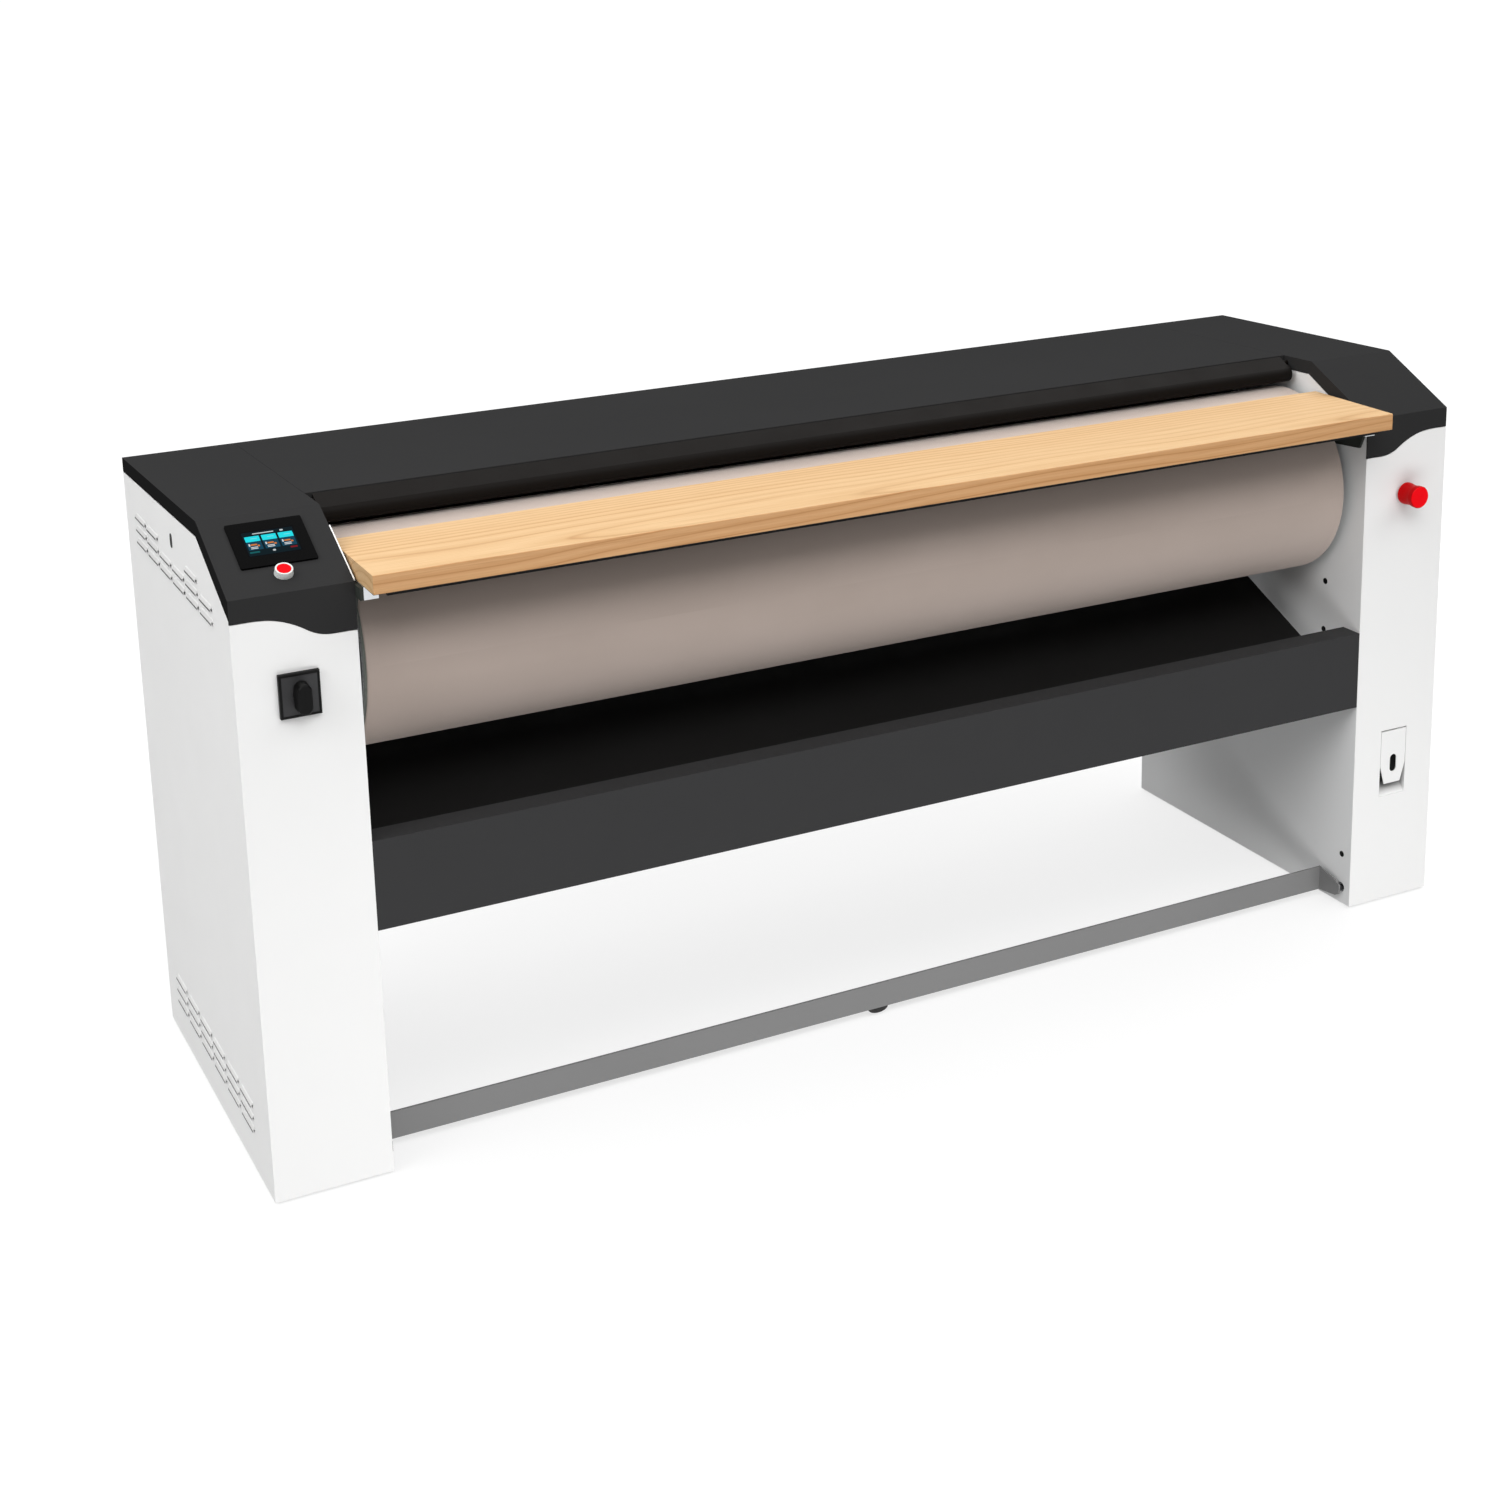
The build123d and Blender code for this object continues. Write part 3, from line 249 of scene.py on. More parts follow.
def cast(name="cast_iron"):
    m = Mat(name).set(metal=0.7)
    m.color(m.ramp(m.noise(45, 5), [(0.3, (0.09, 0.09, 0.095)), (0.7, (0.18, 0.18, 0.185))]))
    m.rough(m.remap(m.noise(70, 4), 0.4, 0.65, 0.3, 0.7))
    m.normal(m.bump(m.noise(420, 4, 0.6), 0.00025, 0.8))
    return m.m


def cloth():
    """The roll's covering: fine plain weave, threads along and round the roll, faint rolled-in bands."""
    m = Mat("roll_cloth").set(spec=0.10, sheen=1.0, sheen_rough=0.5, sheen_tint=(1.0, 0.90, 0.84))
    # angle round the roll's axis, in metres of surface
    sep = m.node("ShaderNodeSeparateXYZ")
    m.link(m.coords(loc=(0, 0.087, -0.768)), sep.inputs[0])
    ang = m.math("MULTIPLY", m.math("ARCTAN2", sep.outputs[2], sep.outputs[1]), 0.165)
    comb = m.node("ShaderNodeCombineXYZ")
    m.link(sep.outputs[0], comb.inputs[0])
    m.link(ang, comb.inputs[1])
    k = 2 * math.pi / 0.0011
    warp = m.math("SINE", m.math("MULTIPLY", sep.outputs[0], k))
    weft = m.math("SINE", m.math("MULTIPLY", ang, k))
    weave = m.math("MULTIPLY", warp, weft)
    band = m.noise(3.0, 4, 0.55, vec=comb.outputs[0])
    fibre = m.noise(1500, 3, 0.6)
    long_band = m.noise(1.0, 3, 0.5, mapscale=(1.2, 14, 14))
    base = m.ramp(band, [(0.28, (0.425, 0.349, 0.306)), (0.72, (0.475, 0.392, 0.348))])
    base = m.mix(m.remap(long_band, 0.0, 0.22, 0.35, 0.7), base, (0.376, 0.307, 0.267))
    base = m.mix(m.remap(weave, 0.0, 0.13, -1, 1), base, (0.325, 0.265, 0.228))
    m.color(base)
    m.rough(m.remap(fibre, 0.78, 0.95, 0.3, 0.7))
    n1 = m.bump(weave, 0.00007, 0.35)
    n2 = m.bump(fibre, 0.00012, 0.45, n1)
    m.normal(m.bump(band, 0.0012, 0.35, n2))
    return m.m


def felt():
    m = Mat("roll_felt").set(spec=0.15, sheen=0.4, sheen_rough=0.6)
    m.color(m.ramp(m.noise(240, 6, 0.7), [(0.3, (0.14, 0.16, 0.135)), (0.7, (0.24, 0.265, 0.23))]))
    m.set(rough=0.95)
    m.normal(m.bump(m.noise(900, 5, 0.7), 0.0006, 0.9))
    return m.m


def wood():
    """Clear-varnished light hardwood, grain along the board, arched figure on the sawn front edge."""
    m = Mat("board_wood").set(spec=0.18, coat=0.0, coat_rough=0.35)
    # the growth rings: large tubes lying nearly along the board, so faces cut them as long lines and arches
    warp = m.noise(0.9, 3, 0.5, mapscale=(0.9, 6, 6))
    sep = m.node("ShaderNodeSeparateXYZ")
    m.link(m.coords(rot=(0, 0.012, 0.010)), sep.inputs[0])
    y = m.math("ADD", sep.outputs[1], m.math("MULTIPLY", m.math("SUBTRACT", warp, 0.5), 0.085))
    z = m.math("ADD", sep.outputs[2], m.math("MULTIPLY", m.math("SUBTRACT", m.noise(0.7, 2, 0.5, mapscale=(1.4, 3, 3)), 0.5), 0.075))
    dy = m.math("SUBTRACT", y, -0.33)
    dz = m.math("SUBTRACT", z, 0.86)
    rad = m.math("SQRT", m.math("ADD", m.math("MULTIPLY", dy, dy), m.math("MULTIPLY", dz, dz)))
    ring = m.math("FRACT", m.math("MULTIPLY", rad, 78.0))
    grain = m.noise(1.0, 6, 0.66, mapscale=(9, 420, 420))
    pores = m.noise(1.0, 3, 0.7, mapscale=(26, 1500, 1500))
    streak = m.noise(1.0, 3, 0.5, mapscale=(0.9, 22, 22))
    lines = m.noise(1.0, 5, 0.68, distortion=0.2, mapscale=(3.2, 150, 150))
    base = m.ramp(ring, [(0.0, (0.440, 0.235, 0.095)), (0.07, (0.600, 0.375, 0.182)), (0.50, (0.672, 0.455, 0.246)), (0.88, (0.632, 0.408, 0.206)), (1.0, (0.470, 0.255, 0.105))])
    base = m.mix(m.remap(streak, 0.0, 0.55, 0.3, 0.75), base, (0.690, 0.478, 0.264))
    base = m.mix(m.remap(grain, 0.0, 0.42, 0.44, 0.78), base, (0.470, 0.262, 0.112))
    base = m.mix(m.remap(pores, 0.0, 0.42, 0.58, 0.80), base, (0.360, 0.190, 0.078))
    base = m.mix(m.remap(lines, 0.0, 0.42, 0.54, 0.70), base, (0.46, 0.265, 0.115))
    # painted shade: the front face is coloured darker than the top
    flat = m.node("ShaderNodeSeparateXYZ")
    m.link(m.coords(), flat.inputs[0])
    edge = m.remap(flat.outputs[1], 1.0, 0.0, -0.3552, -0.3542)
    base = m.mix(edge, base, m.mix(1.0, base, (0.90, 0.76, 0.66), "MULTIPLY"))
    # painted shade under the board: its underside is coloured near-black
    under = m.math("LESS_THAN", flat.outputs[2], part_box("feed_board")[0][2] + 0.0008)
    m.color(m.mix(under, base, (0.030, 0.024, 0.018)))
    m.rough(m.remap(grain, 0.38, 0.55, 0.3, 0.8))
    n1 = m.bump(grain, 0.00008, 0.5)
    m.normal(m.bump(pores, 0.00010, 0.5, n1))
    return m.m


def glossy(name, col, rough=0.12, coat=0.6, spec=0.5):
    m = Mat(name).set(rough=rough, coat=coat, coat_rough=0.05, spec=spec)
    m.color(m.ramp(m.noise(25, 3), [(0.3, tuple(c * 0.92 for c in col)), (0.7, col)]))
    m.normal(m.bump(m.noise(300, 2), 0.00002, 0.4))
    return m.m


def lit(name, col, k=0.9):
    """A lit spot of a display, with its pixel rows."""
    m = Mat(name).set(color=(0.002, 0.002, 0.002), rough=0.3, spec=0.0)
    sep = m.node("ShaderNodeSeparateXYZ")
    m.link(m.coords(), sep.inputs[0])
    rows = m.math("SINE", m.math("MULTIPLY", sep.outputs[0], 2 * math.pi / 0.0005))
    m.link(m.mix(m.remap(rows, 0.0, 0.18, -1, 1), col, tuple(c * 0.6 for c in col)), m.b.inputs["Emission Color"])
    m.set(emit_k=k)
    return m.m


def shell_coat():
    """White powder coat of the side sheets, with painted shade on the louvres: their lanced edges are coloured
    near-black as painted shadow, and the louvre hoods' slopes a darker grey.
    """
    m = Mat("shell_coat").set(spec=0.3)
    sep = m.node("ShaderNodeSeparateXYZ")
    m.link(m.coords(), sep.inputs[0])
    out = m.math("ABSOLUTE", sep.outputs[0])
    # painted shadow: the louvre lips are coloured near-black
    edge = m.math("GREATER_THAN", out, 1.07478)
    # painted shade: the louvre hoods' sloping faces are coloured a darker grey
    hood_painted_shade = m.remap(out, 0.0, 1.0, 1.0717, 1.0728)
    base = m.ramp(m.noise(2.6, 4, 0.55), [(0.3, (0.842, 0.842, 0.837)), (0.7, (0.858, 0.858, 0.853))])
    base = m.mix(hood_painted_shade, base, (0.66, 0.66, 0.655))
    m.color(m.mix(edge, base, (0.035, 0.035, 0.035)))
    m.rough(m.remap(m.noise(14, 4, 0.6), 0.40, 0.50, 0.3, 0.7))
    m.normal(m.bump(m.noise(800, 2, 0.5), 0.00005, 1.0))
    return m.m


def cover_coat():
    """Black powder coat of the end covers, with painted shade on their folded side faces, which are coloured darker.
    """
    m = Mat("cover_coat").set(spec=0.0)
    sep = m.node("ShaderNodeSeparateXYZ")
    m.link(m.coords(), sep.inputs[0])
    # painted shade: the outer side faces are coloured darker
    side = m.math("GREATER_THAN", m.math("ABSOLUTE", sep.outputs[0]), 1.07125)
    base = m.ramp(m.noise(2.6, 4, 0.55), [(0.3, (0.0290, 0.0290, 0.0294)), (0.7, (0.0304, 0.0304, 0.0308))])
    m.color(m.mix(side, base, (0.0145, 0.0145, 0.0148)))
    m.rough(m.remap(m.noise(14, 4, 0.6), 0.52, 0.60, 0.3, 0.7))
    m.normal(m.bump(m.noise(900, 2, 0.5), 0.00006, 1.0))
    return m.m


def pocket_coat():
    """White pressed pocket, coloured darker towards its bottom where the crank's socket sits: painted shade in the
    recess.
    """
    m = Mat("pocket_coat").set(spec=0.2)
    sep = m.node("ShaderNodeSeparateXYZ")
    m.link(m.coords(), sep.inputs[0])
    # painted shade: the recess is coloured near-black towards its bottom
    recess_painted_shade = m.remap(sep.outputs[1], 0.0, 1.0, -0.2850, -0.2700)
    base = m.ramp(m.noise(9.0, 4, 0.55), [(0.3, (0.80, 0.80, 0.795)), (0.7, (0.84, 0.84, 0.835))])
    m.color(m.mix(recess_painted_shade, base, (0.030, 0.030, 0.031)))
    m.rough(m.remap(m.noise(24, 4, 0.6), 0.45, 0.60, 0.3, 0.7))
    m.normal(m.bump(m.noise(900, 2, 0.5), 0.00006, 1.0))
    return m.m


def estop_plastic():
    """Red mushroom button: polished face and a duller moulded side, coloured darker red as painted shade."""
    m = Mat("estop_plastic").set(spec=0.05)
    sep = m.node("ShaderNodeSeparateXYZ")
    m.link(m.coords(), sep.inputs[0])
    side = m.remap(sep.outputs[1], 0.0, 1.0, -0.3268, -0.3262)
    n = m.noise(25, 3)
    face = m.ramp(n, [(0.3, (0.86, 0.0020, 0.0070)), (0.7, (0.92, 0.0022, 0.0075))])
    # painted shade: the cylindrical side is coloured a darker red than the face
    flank_painted_shade = m.ramp(n, [(0.3, (0.46, 0.0008, 0.0022)), (0.7, (0.52, 0.0010, 0.0026))])
    m.color(m.mix(side, face, flank_painted_shade))
    m.rough(m.mix(side, 0.30, 0.42))
    m.normal(m.bump(m.noise(300, 2), 0.00002, 0.4))
    return m.m


def bracket_finish():
    """Zinc-plated channel; its side plate, against the cabinet, is painted black."""
    m = Mat("bracket_finish")
    sep = m.node("ShaderNodeSeparateXYZ")
    m.link(m.coords(), sep.inputs[0])
    side = m.math("GREATER_THAN", m.math("ABSOLUTE", sep.outputs[0]), 0.88995)
    n = m.noise(40, 3)
    zinc = m.mix(m.remap(n, 0.0, 0.45, 0.3, 0.7), (0.62, 0.64, 0.66), (0.50, 0.52, 0.54))
    m.color(m.mix(side, zinc, (0.026, 0.030, 0.026)))
    m.link(m.math("SUBTRACT", 1.0, side), m.b.inputs["Metallic"])
    m.rough(m.mix(side, m.mix(n, 0.26, 0.42), 0.55))
    m.set(spec=0.15)
    m.normal(m.bump(n, 0.00004, 0.5))
    return m.m


def switch_plate():
    """Moulded plate of the main switch: a black rim round a sunk grey field."""
    m = Mat("switch_plate").set(spec=0.12)
    sep = m.node("ShaderNodeSeparateXYZ")
    m.link(m.coords(), sep.inputs[0])
    dx = m.math("SUBTRACT", m.math("ABSOLUTE", m.math("ADD", sep.outputs[0], 0.98325)), 0.0253)
    dz = m.math("SUBTRACT", m.math("ABSOLUTE", m.math("SUBTRACT", sep.outputs[2], 0.764)), 0.0283)
    rim = m.math("GREATER_THAN", m.math("MAXIMUM", dx, dz), 0.0)
    n = m.noise(30, 4, 0.6)
    m.color(m.mix(rim, m.ramp(n, [(0.3, (0.040, 0.040, 0.041)), (0.7, (0.047, 0.047, 0.049))]), (0.0022, 0.0022, 0.0022)))
    m.rough(m.remap(m.noise(55, 3), 0.42, 0.55, 0.3, 0.7))
    m.normal(m.bump(m.noise(1800, 2), 0.00005, 0.8))
    return m.m


M = {
    "switch": switch_plate(), "cover": cover_coat(), "pocket": pocket_coat(), "estop": estop_plastic(),
    "white": powder("white_coat", (0.85, 0.85, 0.845), 0.010, (0.40, 0.50), 0.00005, 800, 0.3), "shell": shell_coat(),
    # painted shade: the inner sheets' white is coloured a little darker than the outer white
    "white_in": powder("white_coat_inner_painted_shade", (0.80, 0.805, 0.805), 0.012, (0.45, 0.55), 0.00005, 800, 0.3),
    "black": powder("black_coat", (0.0297, 0.0297, 0.0301), 0.025, (0.52, 0.58), 0.00006, 900, 0.0),
    "guard": powder("guard_coat", (0.0072, 0.0060, 0.0053), 0.03, (0.50, 0.58), 0.00006, 900, 0.06),
    "grey": powder("grey_coat", (0.033, 0.033, 0.034), 0.02, (0.52, 0.60), 0.00006, 900, 0.10),
    "chute": powder("chute_coat", (0.0065, 0.0063, 0.0062), 0.06, (0.5, 0.62), 0.00006, 900, 0.12),
    "treadle": powder("treadle_coat", (0.200, 0.200, 0.200), 0.03, (0.46, 0.56), 0.00007, 700, 0.25),
    "frame": powder("frame_primer", (0.26, 0.27, 0.28), 0.08, (0.5, 0.7), 0.0001, 500),
    "motor": powder("motor_coat", (0.07, 0.09, 0.13), 0.08, (0.4, 0.55), 0.0001, 500),
    "wood": wood(), "cloth": cloth(), "felt": felt(),
    "steel": brushed("turned_steel", (0.56, 0.56, 0.57)), "zinc": plated("zinc_plate"),
    "chest": brushed("chest_metal", (0.70, 0.70, 0.70), (0.16, 0.3), (1.5, 90, 90)),
    "jacket": brushed("jacket_metal", (0.50, 0.50, 0.51), (0.4, 0.6), (3, 30, 30)),
    "iron": cast(), "rubber": rubber(),
    "blackp": plastic("black_plastic", (0.020, 0.020, 0.021)), "greyp": plastic("grey_plastic", (0.052, 0.052, 0.054), spec=0.3), "bezel": glossy("bezel_gloss", (0.0022, 0.0022, 0.0023), 0.25, 0.0, 0.02),
    "unitp": plastic("unit_plastic", (0.30, 0.31, 0.32)), "knob": glossy("knob_plastic", (0.0030, 0.0030, 0.0030), 0.34, 0.0, 0.10),
    "red": glossy("red_plastic", (0.78, 0.0015, 0.006), 0.36, 0.0, 0.03), "glass": glossy("screen_glass", (0.002, 0.002, 0.003), 0.2, 0.0, 0.02),
    "dark_steel": brushed("dark_steel", (0.10, 0.10, 0.105), (0.35, 0.5)), "bracket": bracket_finish(),
    "plug": plastic("plug_plastic", (0.004, 0.004, 0.004), spec=0.05),
    "ring": plastic("bright_ring", (0.66, 0.68, 0.67), (0.22, 0.30), 0.00002, 900, 0.6),
}
LOOK = {
    "left_end_cover": "cover", "right_end_cover": "cover", "centre_cover": "black", "left_side_shell": "shell", "right_side_shell": "shell",
    "left_front_panel": "white", "right_front_panel": "white", "left_inner_panel": "white_in", "right_inner_panel": "white_in",
    "rear_cover": "grey", "rear_cover_screws": "zinc", "left_side_frame": "frame", "right_side_frame": "frame", "upper_cross_beam": "frame",
    "rear_cross_beam": "frame", "chute_beam": "frame", "levelling_feet": "zinc", "roll_tube": "steel", "roll_padding": "felt", "roll_cloth": "cloth",
    "roll_end_left": "steel", "roll_end_right": "steel", "left_roll_bearing": "iron", "right_roll_bearing": "iron", "roll_pulley": "iron",
    "motor_pulley": "steel", "gearmotor": "motor", "drive_belt": "rubber", "heated_chest": "chest", "heater_rods": "steel", "chest_jacket": "jacket",
    "chest_actuator_bodies": "greyp", "chest_actuator_rods": "steel", "finger_guard": "guard", "limit_switches": "greyp",
    "feed_board": "wood", "feed_board_brackets": "bracket", "feed_board_stiffener": "chute", "trough_front_panel": "grey", "chute_plate": "chute", "foot_bar": "treadle",
    "foot_bar_pins": "dark_steel", "foot_bar_buffer": "rubber", "touch_panel_bezel": "bezel", "touch_panel_glass": "glass", "stop_button_ring": "ring",
    "stop_button_cap": "red", "main_switch_plate": "switch", "main_switch_knob": "knob", "main_switch_body": "unitp", "emergency_button": "estop",
    "emergency_button_body": "greyp", "crank_flap": "white", "crank_pocket": "pocket", "fan_housing": "zinc", "fan_motor": "motor",
    "fan_impeller": "zinc", "exhaust_spigot": "zinc", "cable_gland": "blackp", "control_unit": "unitp",
}


def dress(o, mat):
    if not o.material_slots:
        o.data.materials.append(mat)
    for s in o.material_slots:
        s.link = "OBJECT"
        s.material = mat


BEVEL = {"feed_board": 0.0012, "trough_front_panel": 0.0007, "foot_bar": 0.0008, "finger_guard": 0.0009, "main_switch_plate": 0.0006,
         "left_end_cover": 0.0008, "right_end_cover": 0.0008, "centre_cover": 0.0008, "touch_panel_bezel": 0.0007,
         "left_front_panel": 0.0006, "right_front_panel": 0.0006, "left_side_shell": 0.0, "crank_flap": 0.0005,
         "feed_board_brackets": 0.0005, "chute_plate": 0.0005, "rear_cover": 0.0005, "emergency_button": 0.0}
for name, o in NODES.items():
    dress(o, M[LOOK[name]])
    w = BEVEL.get(name, 0.0004)
    if w and name not in ("fan_impeller", "roll_cloth", "roll_padding", "left_side_shell", "right_side_shell"):
        b = o.modifiers.new("soft_edges", "BEVEL")
        b.width = w
        b.segments = 2
        b.limit_method = "ANGLE"
        b.angle_limit = math.radians(40)
        b.harden_normals = False


# ---------------------------------------------------------------- meshes
def mesh_object(name, bm, mat, body, smooth=None):
    me = bpy.data.meshes.new(name)
    bm.normal_update()
    bm.to_mesh(me)
    bm.free()
    o = bpy.data.objects.new(name, me)
    bpy.context.scene.collection.objects.link(o)
    me.materials.append(mat)
    if smooth is not None:
        me.shade_smooth()
        me.set_sharp_from_angle(angle=math.radians(smooth))
    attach(o, body)
    return o


AX_Y, AX_Z = -0.087, 0.768            # the roll's axis


def closed_grid(rings_out, rings_in, wrap):
    """A closed skin between two grids of points (lists of rows); wrap joins each row's ends."""
    bm = bmesh.new()
    a = [[bm.verts.new(p) for p in row] for row in rings_out]
    b = [[bm.verts.new(p) for p in row] for row in rings_in]
    n, m = len(a), len(a[0])
    cols = m if wrap else m - 1
    for i in range(n - 1):
        for j in range(cols):
            k = (j + 1) % m
            bm.faces.new((a[i][j], a[i][k], a[i + 1][k], a[i + 1][j]))
            bm.faces.new((b[i][j], b[i + 1][j], b[i + 1][k], b[i][k]))
    for j in range(cols):
        k = (j + 1) % m
        bm.faces.new((a[0][j], b[0][j], b[0][k], a[0][k]))
        bm.faces.new((a[-1][j], a[-1][k], b[-1][k], b[-1][j]))
    if not wrap:
        for i in range(n - 1):
            bm.faces.new((a[i][0], a[i + 1][0], b[i + 1][0], b[i][0]))
            bm.faces.new((a[i][-1], b[i][-1], b[i + 1][-1], a[i + 1][-1]))
    bmesh.ops.recalc_face_normals(bm, faces=bm.faces)
    return bm


def at_roll(x, r, a):
    return Vector((x, AX_Y + r * math.cos(a), AX_Z + r * math.sin(a)))


def x_stations(x0, x1, fine, steps, mid):
    """Stations along the roll, close together in the last few millimetres of both ends."""
    ends = [fine * (i / steps) ** 1.6 for i in range(steps + 1)]
    inner = [x0 + fine + (x1 - x0 - 2 * fine) * i / mid for i in range(1, mid)]
    return [x0 + e for e in ends] + inner + [x1 - e for e in reversed(ends)]


def roll_felt_mesh():
    """Felt under the cloth: a thick tube with rounded shoulders and a teased, slightly uneven end face."""
    x0, x1, ro, ri = -0.8765, 0.8800, 0.1617, 0.1502
    turns = 168
    out, inn = [], []
    for x in x_stations(x0, x1, 0.007, 8, 24):
        u = max(0.0, 1 - min(x - x0, x1 - x) / 0.007)
        drop = 0.0045 * (1 - math.sqrt(max(0.0, 1 - u * u)))
        row_o, row_i = [], []
        for j in range(turns):
            a = 2 * math.pi * j / turns
            tease = u * u * (0.00035 * math.sin(7 * a + 1.3) + 0.0003 * math.sin(23 * a) + random.uniform(-0.0002, 0.0002))
            shift = tease if x - x0 < 0.01 else -tease
            row_o.append(at_roll(x + shift, ro - drop - abs(tease) * 0.5, a))
            row_i.append(at_roll(x + shift * 0.4, ri, a))
        out.append(row_o)
        inn.append(row_i)
    return closed_grid(out, inn, True)


def roll_cloth_mesh():
    """The covering: one sheet wound a little over once round the felt, so its sewn hem laps over its start."""
    x0, x1, thick = -0.8750, 0.8795, 0.0012
    turn = 2 * math.pi + 0.30
    steps = 250
    start = math.radians(-20)
    out, inn = [], []
    for x in x_stations(x0, x1, 0.005, 6, 96):
        u = max(0.0, 1 - min(x - x0, x1 - x) / 0.005)
        drop = 0.0015 * (1 - math.sqrt(max(0.0, 1 - u * u)))
        row_o, row_i = [], []
        for j in range(steps + 1):
            t = turn * j / steps
            r = 0.1619 + 0.0014 * t / (2 * math.pi)
            w = 0.00010 * math.sin(3.1 * x + 2 * t) + 0.00007 * math.sin(11 * x - 3 * t + 0.7)
            w *= math.sin(math.pi * min(1.0, t / turn)) ** 0.5
            hem = 0.00035 if turn - t < 0.055 else 0.0
            row_o.append(at_roll(x, min(r + thick - drop + abs(w) + hem, 0.16495), start + t))
            row_i.append(at_roll(x, r - drop + abs(w) * 0.5, start + t))
        out.append(row_o)
        inn.append(row_i)
    return closed_grid(out, inn, False)


felt_tube = mesh_object("roll_felt_tube", roll_felt_mesh(), M["felt"], "roll", 50)
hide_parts("roll_padding")
cover = mesh_object("roll_cloth_cover", roll_cloth_mesh(), M["cloth"], "roll", 50)
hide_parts("roll_cloth")


def turned(bm, x0, x1, y, z, profile, n=28):
    """A turned plug along X: profile is a list of (share of the way from x0 to x1, radius)."""
    rows = []
    for f, r in profile:
        x = x0 + (x1 - x0) * f
        rows.append([bm.verts.new((x, y + r * math.cos(2 * math.pi * j / n), z + r * math.sin(2 * math.pi * j / n))) for j in range(n)])
    for a, b in zip(rows, rows[1:]):
        for j in range(n):
            bm.faces.new((a[j], a[(j + 1) % n], b[(j + 1) % n], b[j]))
    bm.faces.new(rows[0])
    bm.faces.new(rows[-1])


def hole_plugs():
    """Black snap-in plugs in the small holes of the inner sheets."""
    bm = bmesh.new()
    for side in (-1, 1):
        for y, z in ((-0.191, 0.595), (-0.191, 0.505), (-0.263, 0.098)):
            turned(bm, side * 0.8969, side * 0.8942, y, z, [(0, 0.0036), (0.7, 0.0037), (0.7, 0.0056), (0.9, 0.0054), (1.0, 0.0040)])
    bmesh.ops.recalc_face_normals(bm, faces=bm.faces)
    return bm


def catch_hole_shade_plugs():
    """Black plugs with a thin rim filling the oval holes of the side sheets: painted shade, a dark fill in place of
    the shade inside the holes.
    """
    bm = bmesh.new()
    for side in (-1, 1):
        rows = []
        for x, w, h in ((1.0688, 0.0028, 0.0081), (1.0690, 0.0034, 0.0086), (1.07155, 0.0034, 0.0086), (1.07155, 0.0064, 0.0110),
                        (1.0719, 0.0065, 0.0111), (1.0721, 0.0062, 0.0108), (1.0721, 0.0056, 0.0102), (1.0719, 0.0052, 0.0098)):
            ring = []
            for half in (1, -1):
                for i in range(13):
                    a = math.radians(15 * i + (0 if half > 0 else 180))
                    ring.append(bm.verts.new((side * x, 0.038 + w * math.cos(a), 0.9135 + half * (h - w) + w * math.sin(a))))
            rows.append(ring)
        for a, b in zip(rows, rows[1:]):
            for j in range(len(a)):
                bm.faces.new((a[j], a[(j + 1) % len(a)], b[(j + 1) % len(a)], b[j]))
        bm.faces.new(rows[0])
        bm.faces.new(rows[-1])
    bmesh.ops.recalc_face_normals(bm, faces=bm.faces)
    return bm


def sheet_edges():
    """The left inner sheet's folded white upper edge, showing beside the end cover's slope."""
    bm = bmesh.new()
    for side in (-1,):
        rows = []
        for i in range(9):
            f = 0.72 * i / 8
            y, z = -0.2835 + (0.1490) * f, 0.9132 + (0.0709) * f
            x0, x1, h, c = 0.8949, 0.8928, 0.0036, 0.0006
            if i in (0, 8):
                h -= 0.0010
            prof = [(x0, -h), (x1 + c, -h), (x1, -h + c), (x1, -c), (x1 + 0.3 * c, -0.3 * c), (x1 + c, 0.0), (x0 - 0.3 * c, 0.0), (x0, -0.3 * c)]
            rows.append([bm.verts.new((side * px, y, z + pz)) for px, pz in prof])
        for a, b in zip(rows, rows[1:]):
            for j in range(len(a)):
                bm.faces.new((a[j], a[(j + 1) % len(a)], b[(j + 1) % len(a)], b[j]))
        bm.faces.new(rows[0])
        bm.faces.new(rows[-1])
    bmesh.ops.recalc_face_normals(bm, faces=bm.faces)
    return bm


def bar_stop():
    """Rubber stop of the treadle bar: a block behind the bar with a round lobe hanging below its edge."""
    bm = bmesh.new()
    rows = []
    for y, inset, top in ((-0.2176, 0.0010, 0.0137), (-0.2171, 0.0003, 0.0139), (-0.2164, 0.0, 0.0139), (-0.2140, 0.0, 0.0139),
                          (-0.21385, 0.0, 0.0300), (-0.2060, 0.0, 0.0300), (-0.2042, 0.0005, 0.0298), (-0.2032, 0.0016, 0.0288)):
        pts = []
        for i in range(29):
            a = math.pi * (1 + i / 28)
            pts.append(((0.018 - inset) * math.cos(a), 0.0134 + (0.0088 - inset) * math.sin(a)))
        low = top < 0.02
        pts += [(0.018 - inset, top - (0.00012 if low else 0.0015)), (0.0165 - inset, top), (-0.0165 + inset, top),
                (-0.018 + inset, top - (0.00012 if low else 0.0015))]
        rows.append([bm.verts.new((-0.040 + px, y, pz)) for px, pz in pts])
    for a, b in zip(rows, rows[1:]):
        for j in range(len(a)):
            bm.faces.new((a[j], a[(j + 1) % len(a)], b[(j + 1) % len(a)], b[j]))
    bm.faces.new(rows[0])
    bm.faces.new(rows[-1])
    bmesh.ops.recalc_face_normals(bm, faces=bm.faces)
    return bm


stop = mesh_object("foot_bar_stop", bar_stop(), M["rubber"], "treadle", 40)
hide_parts("foot_bar_buffer")
mesh_object("sheet_edges", sheet_edges(), M["white"], "machine", 40)
mesh_object("hole_plugs", hole_plugs(), M["plug"], "machine", 40)
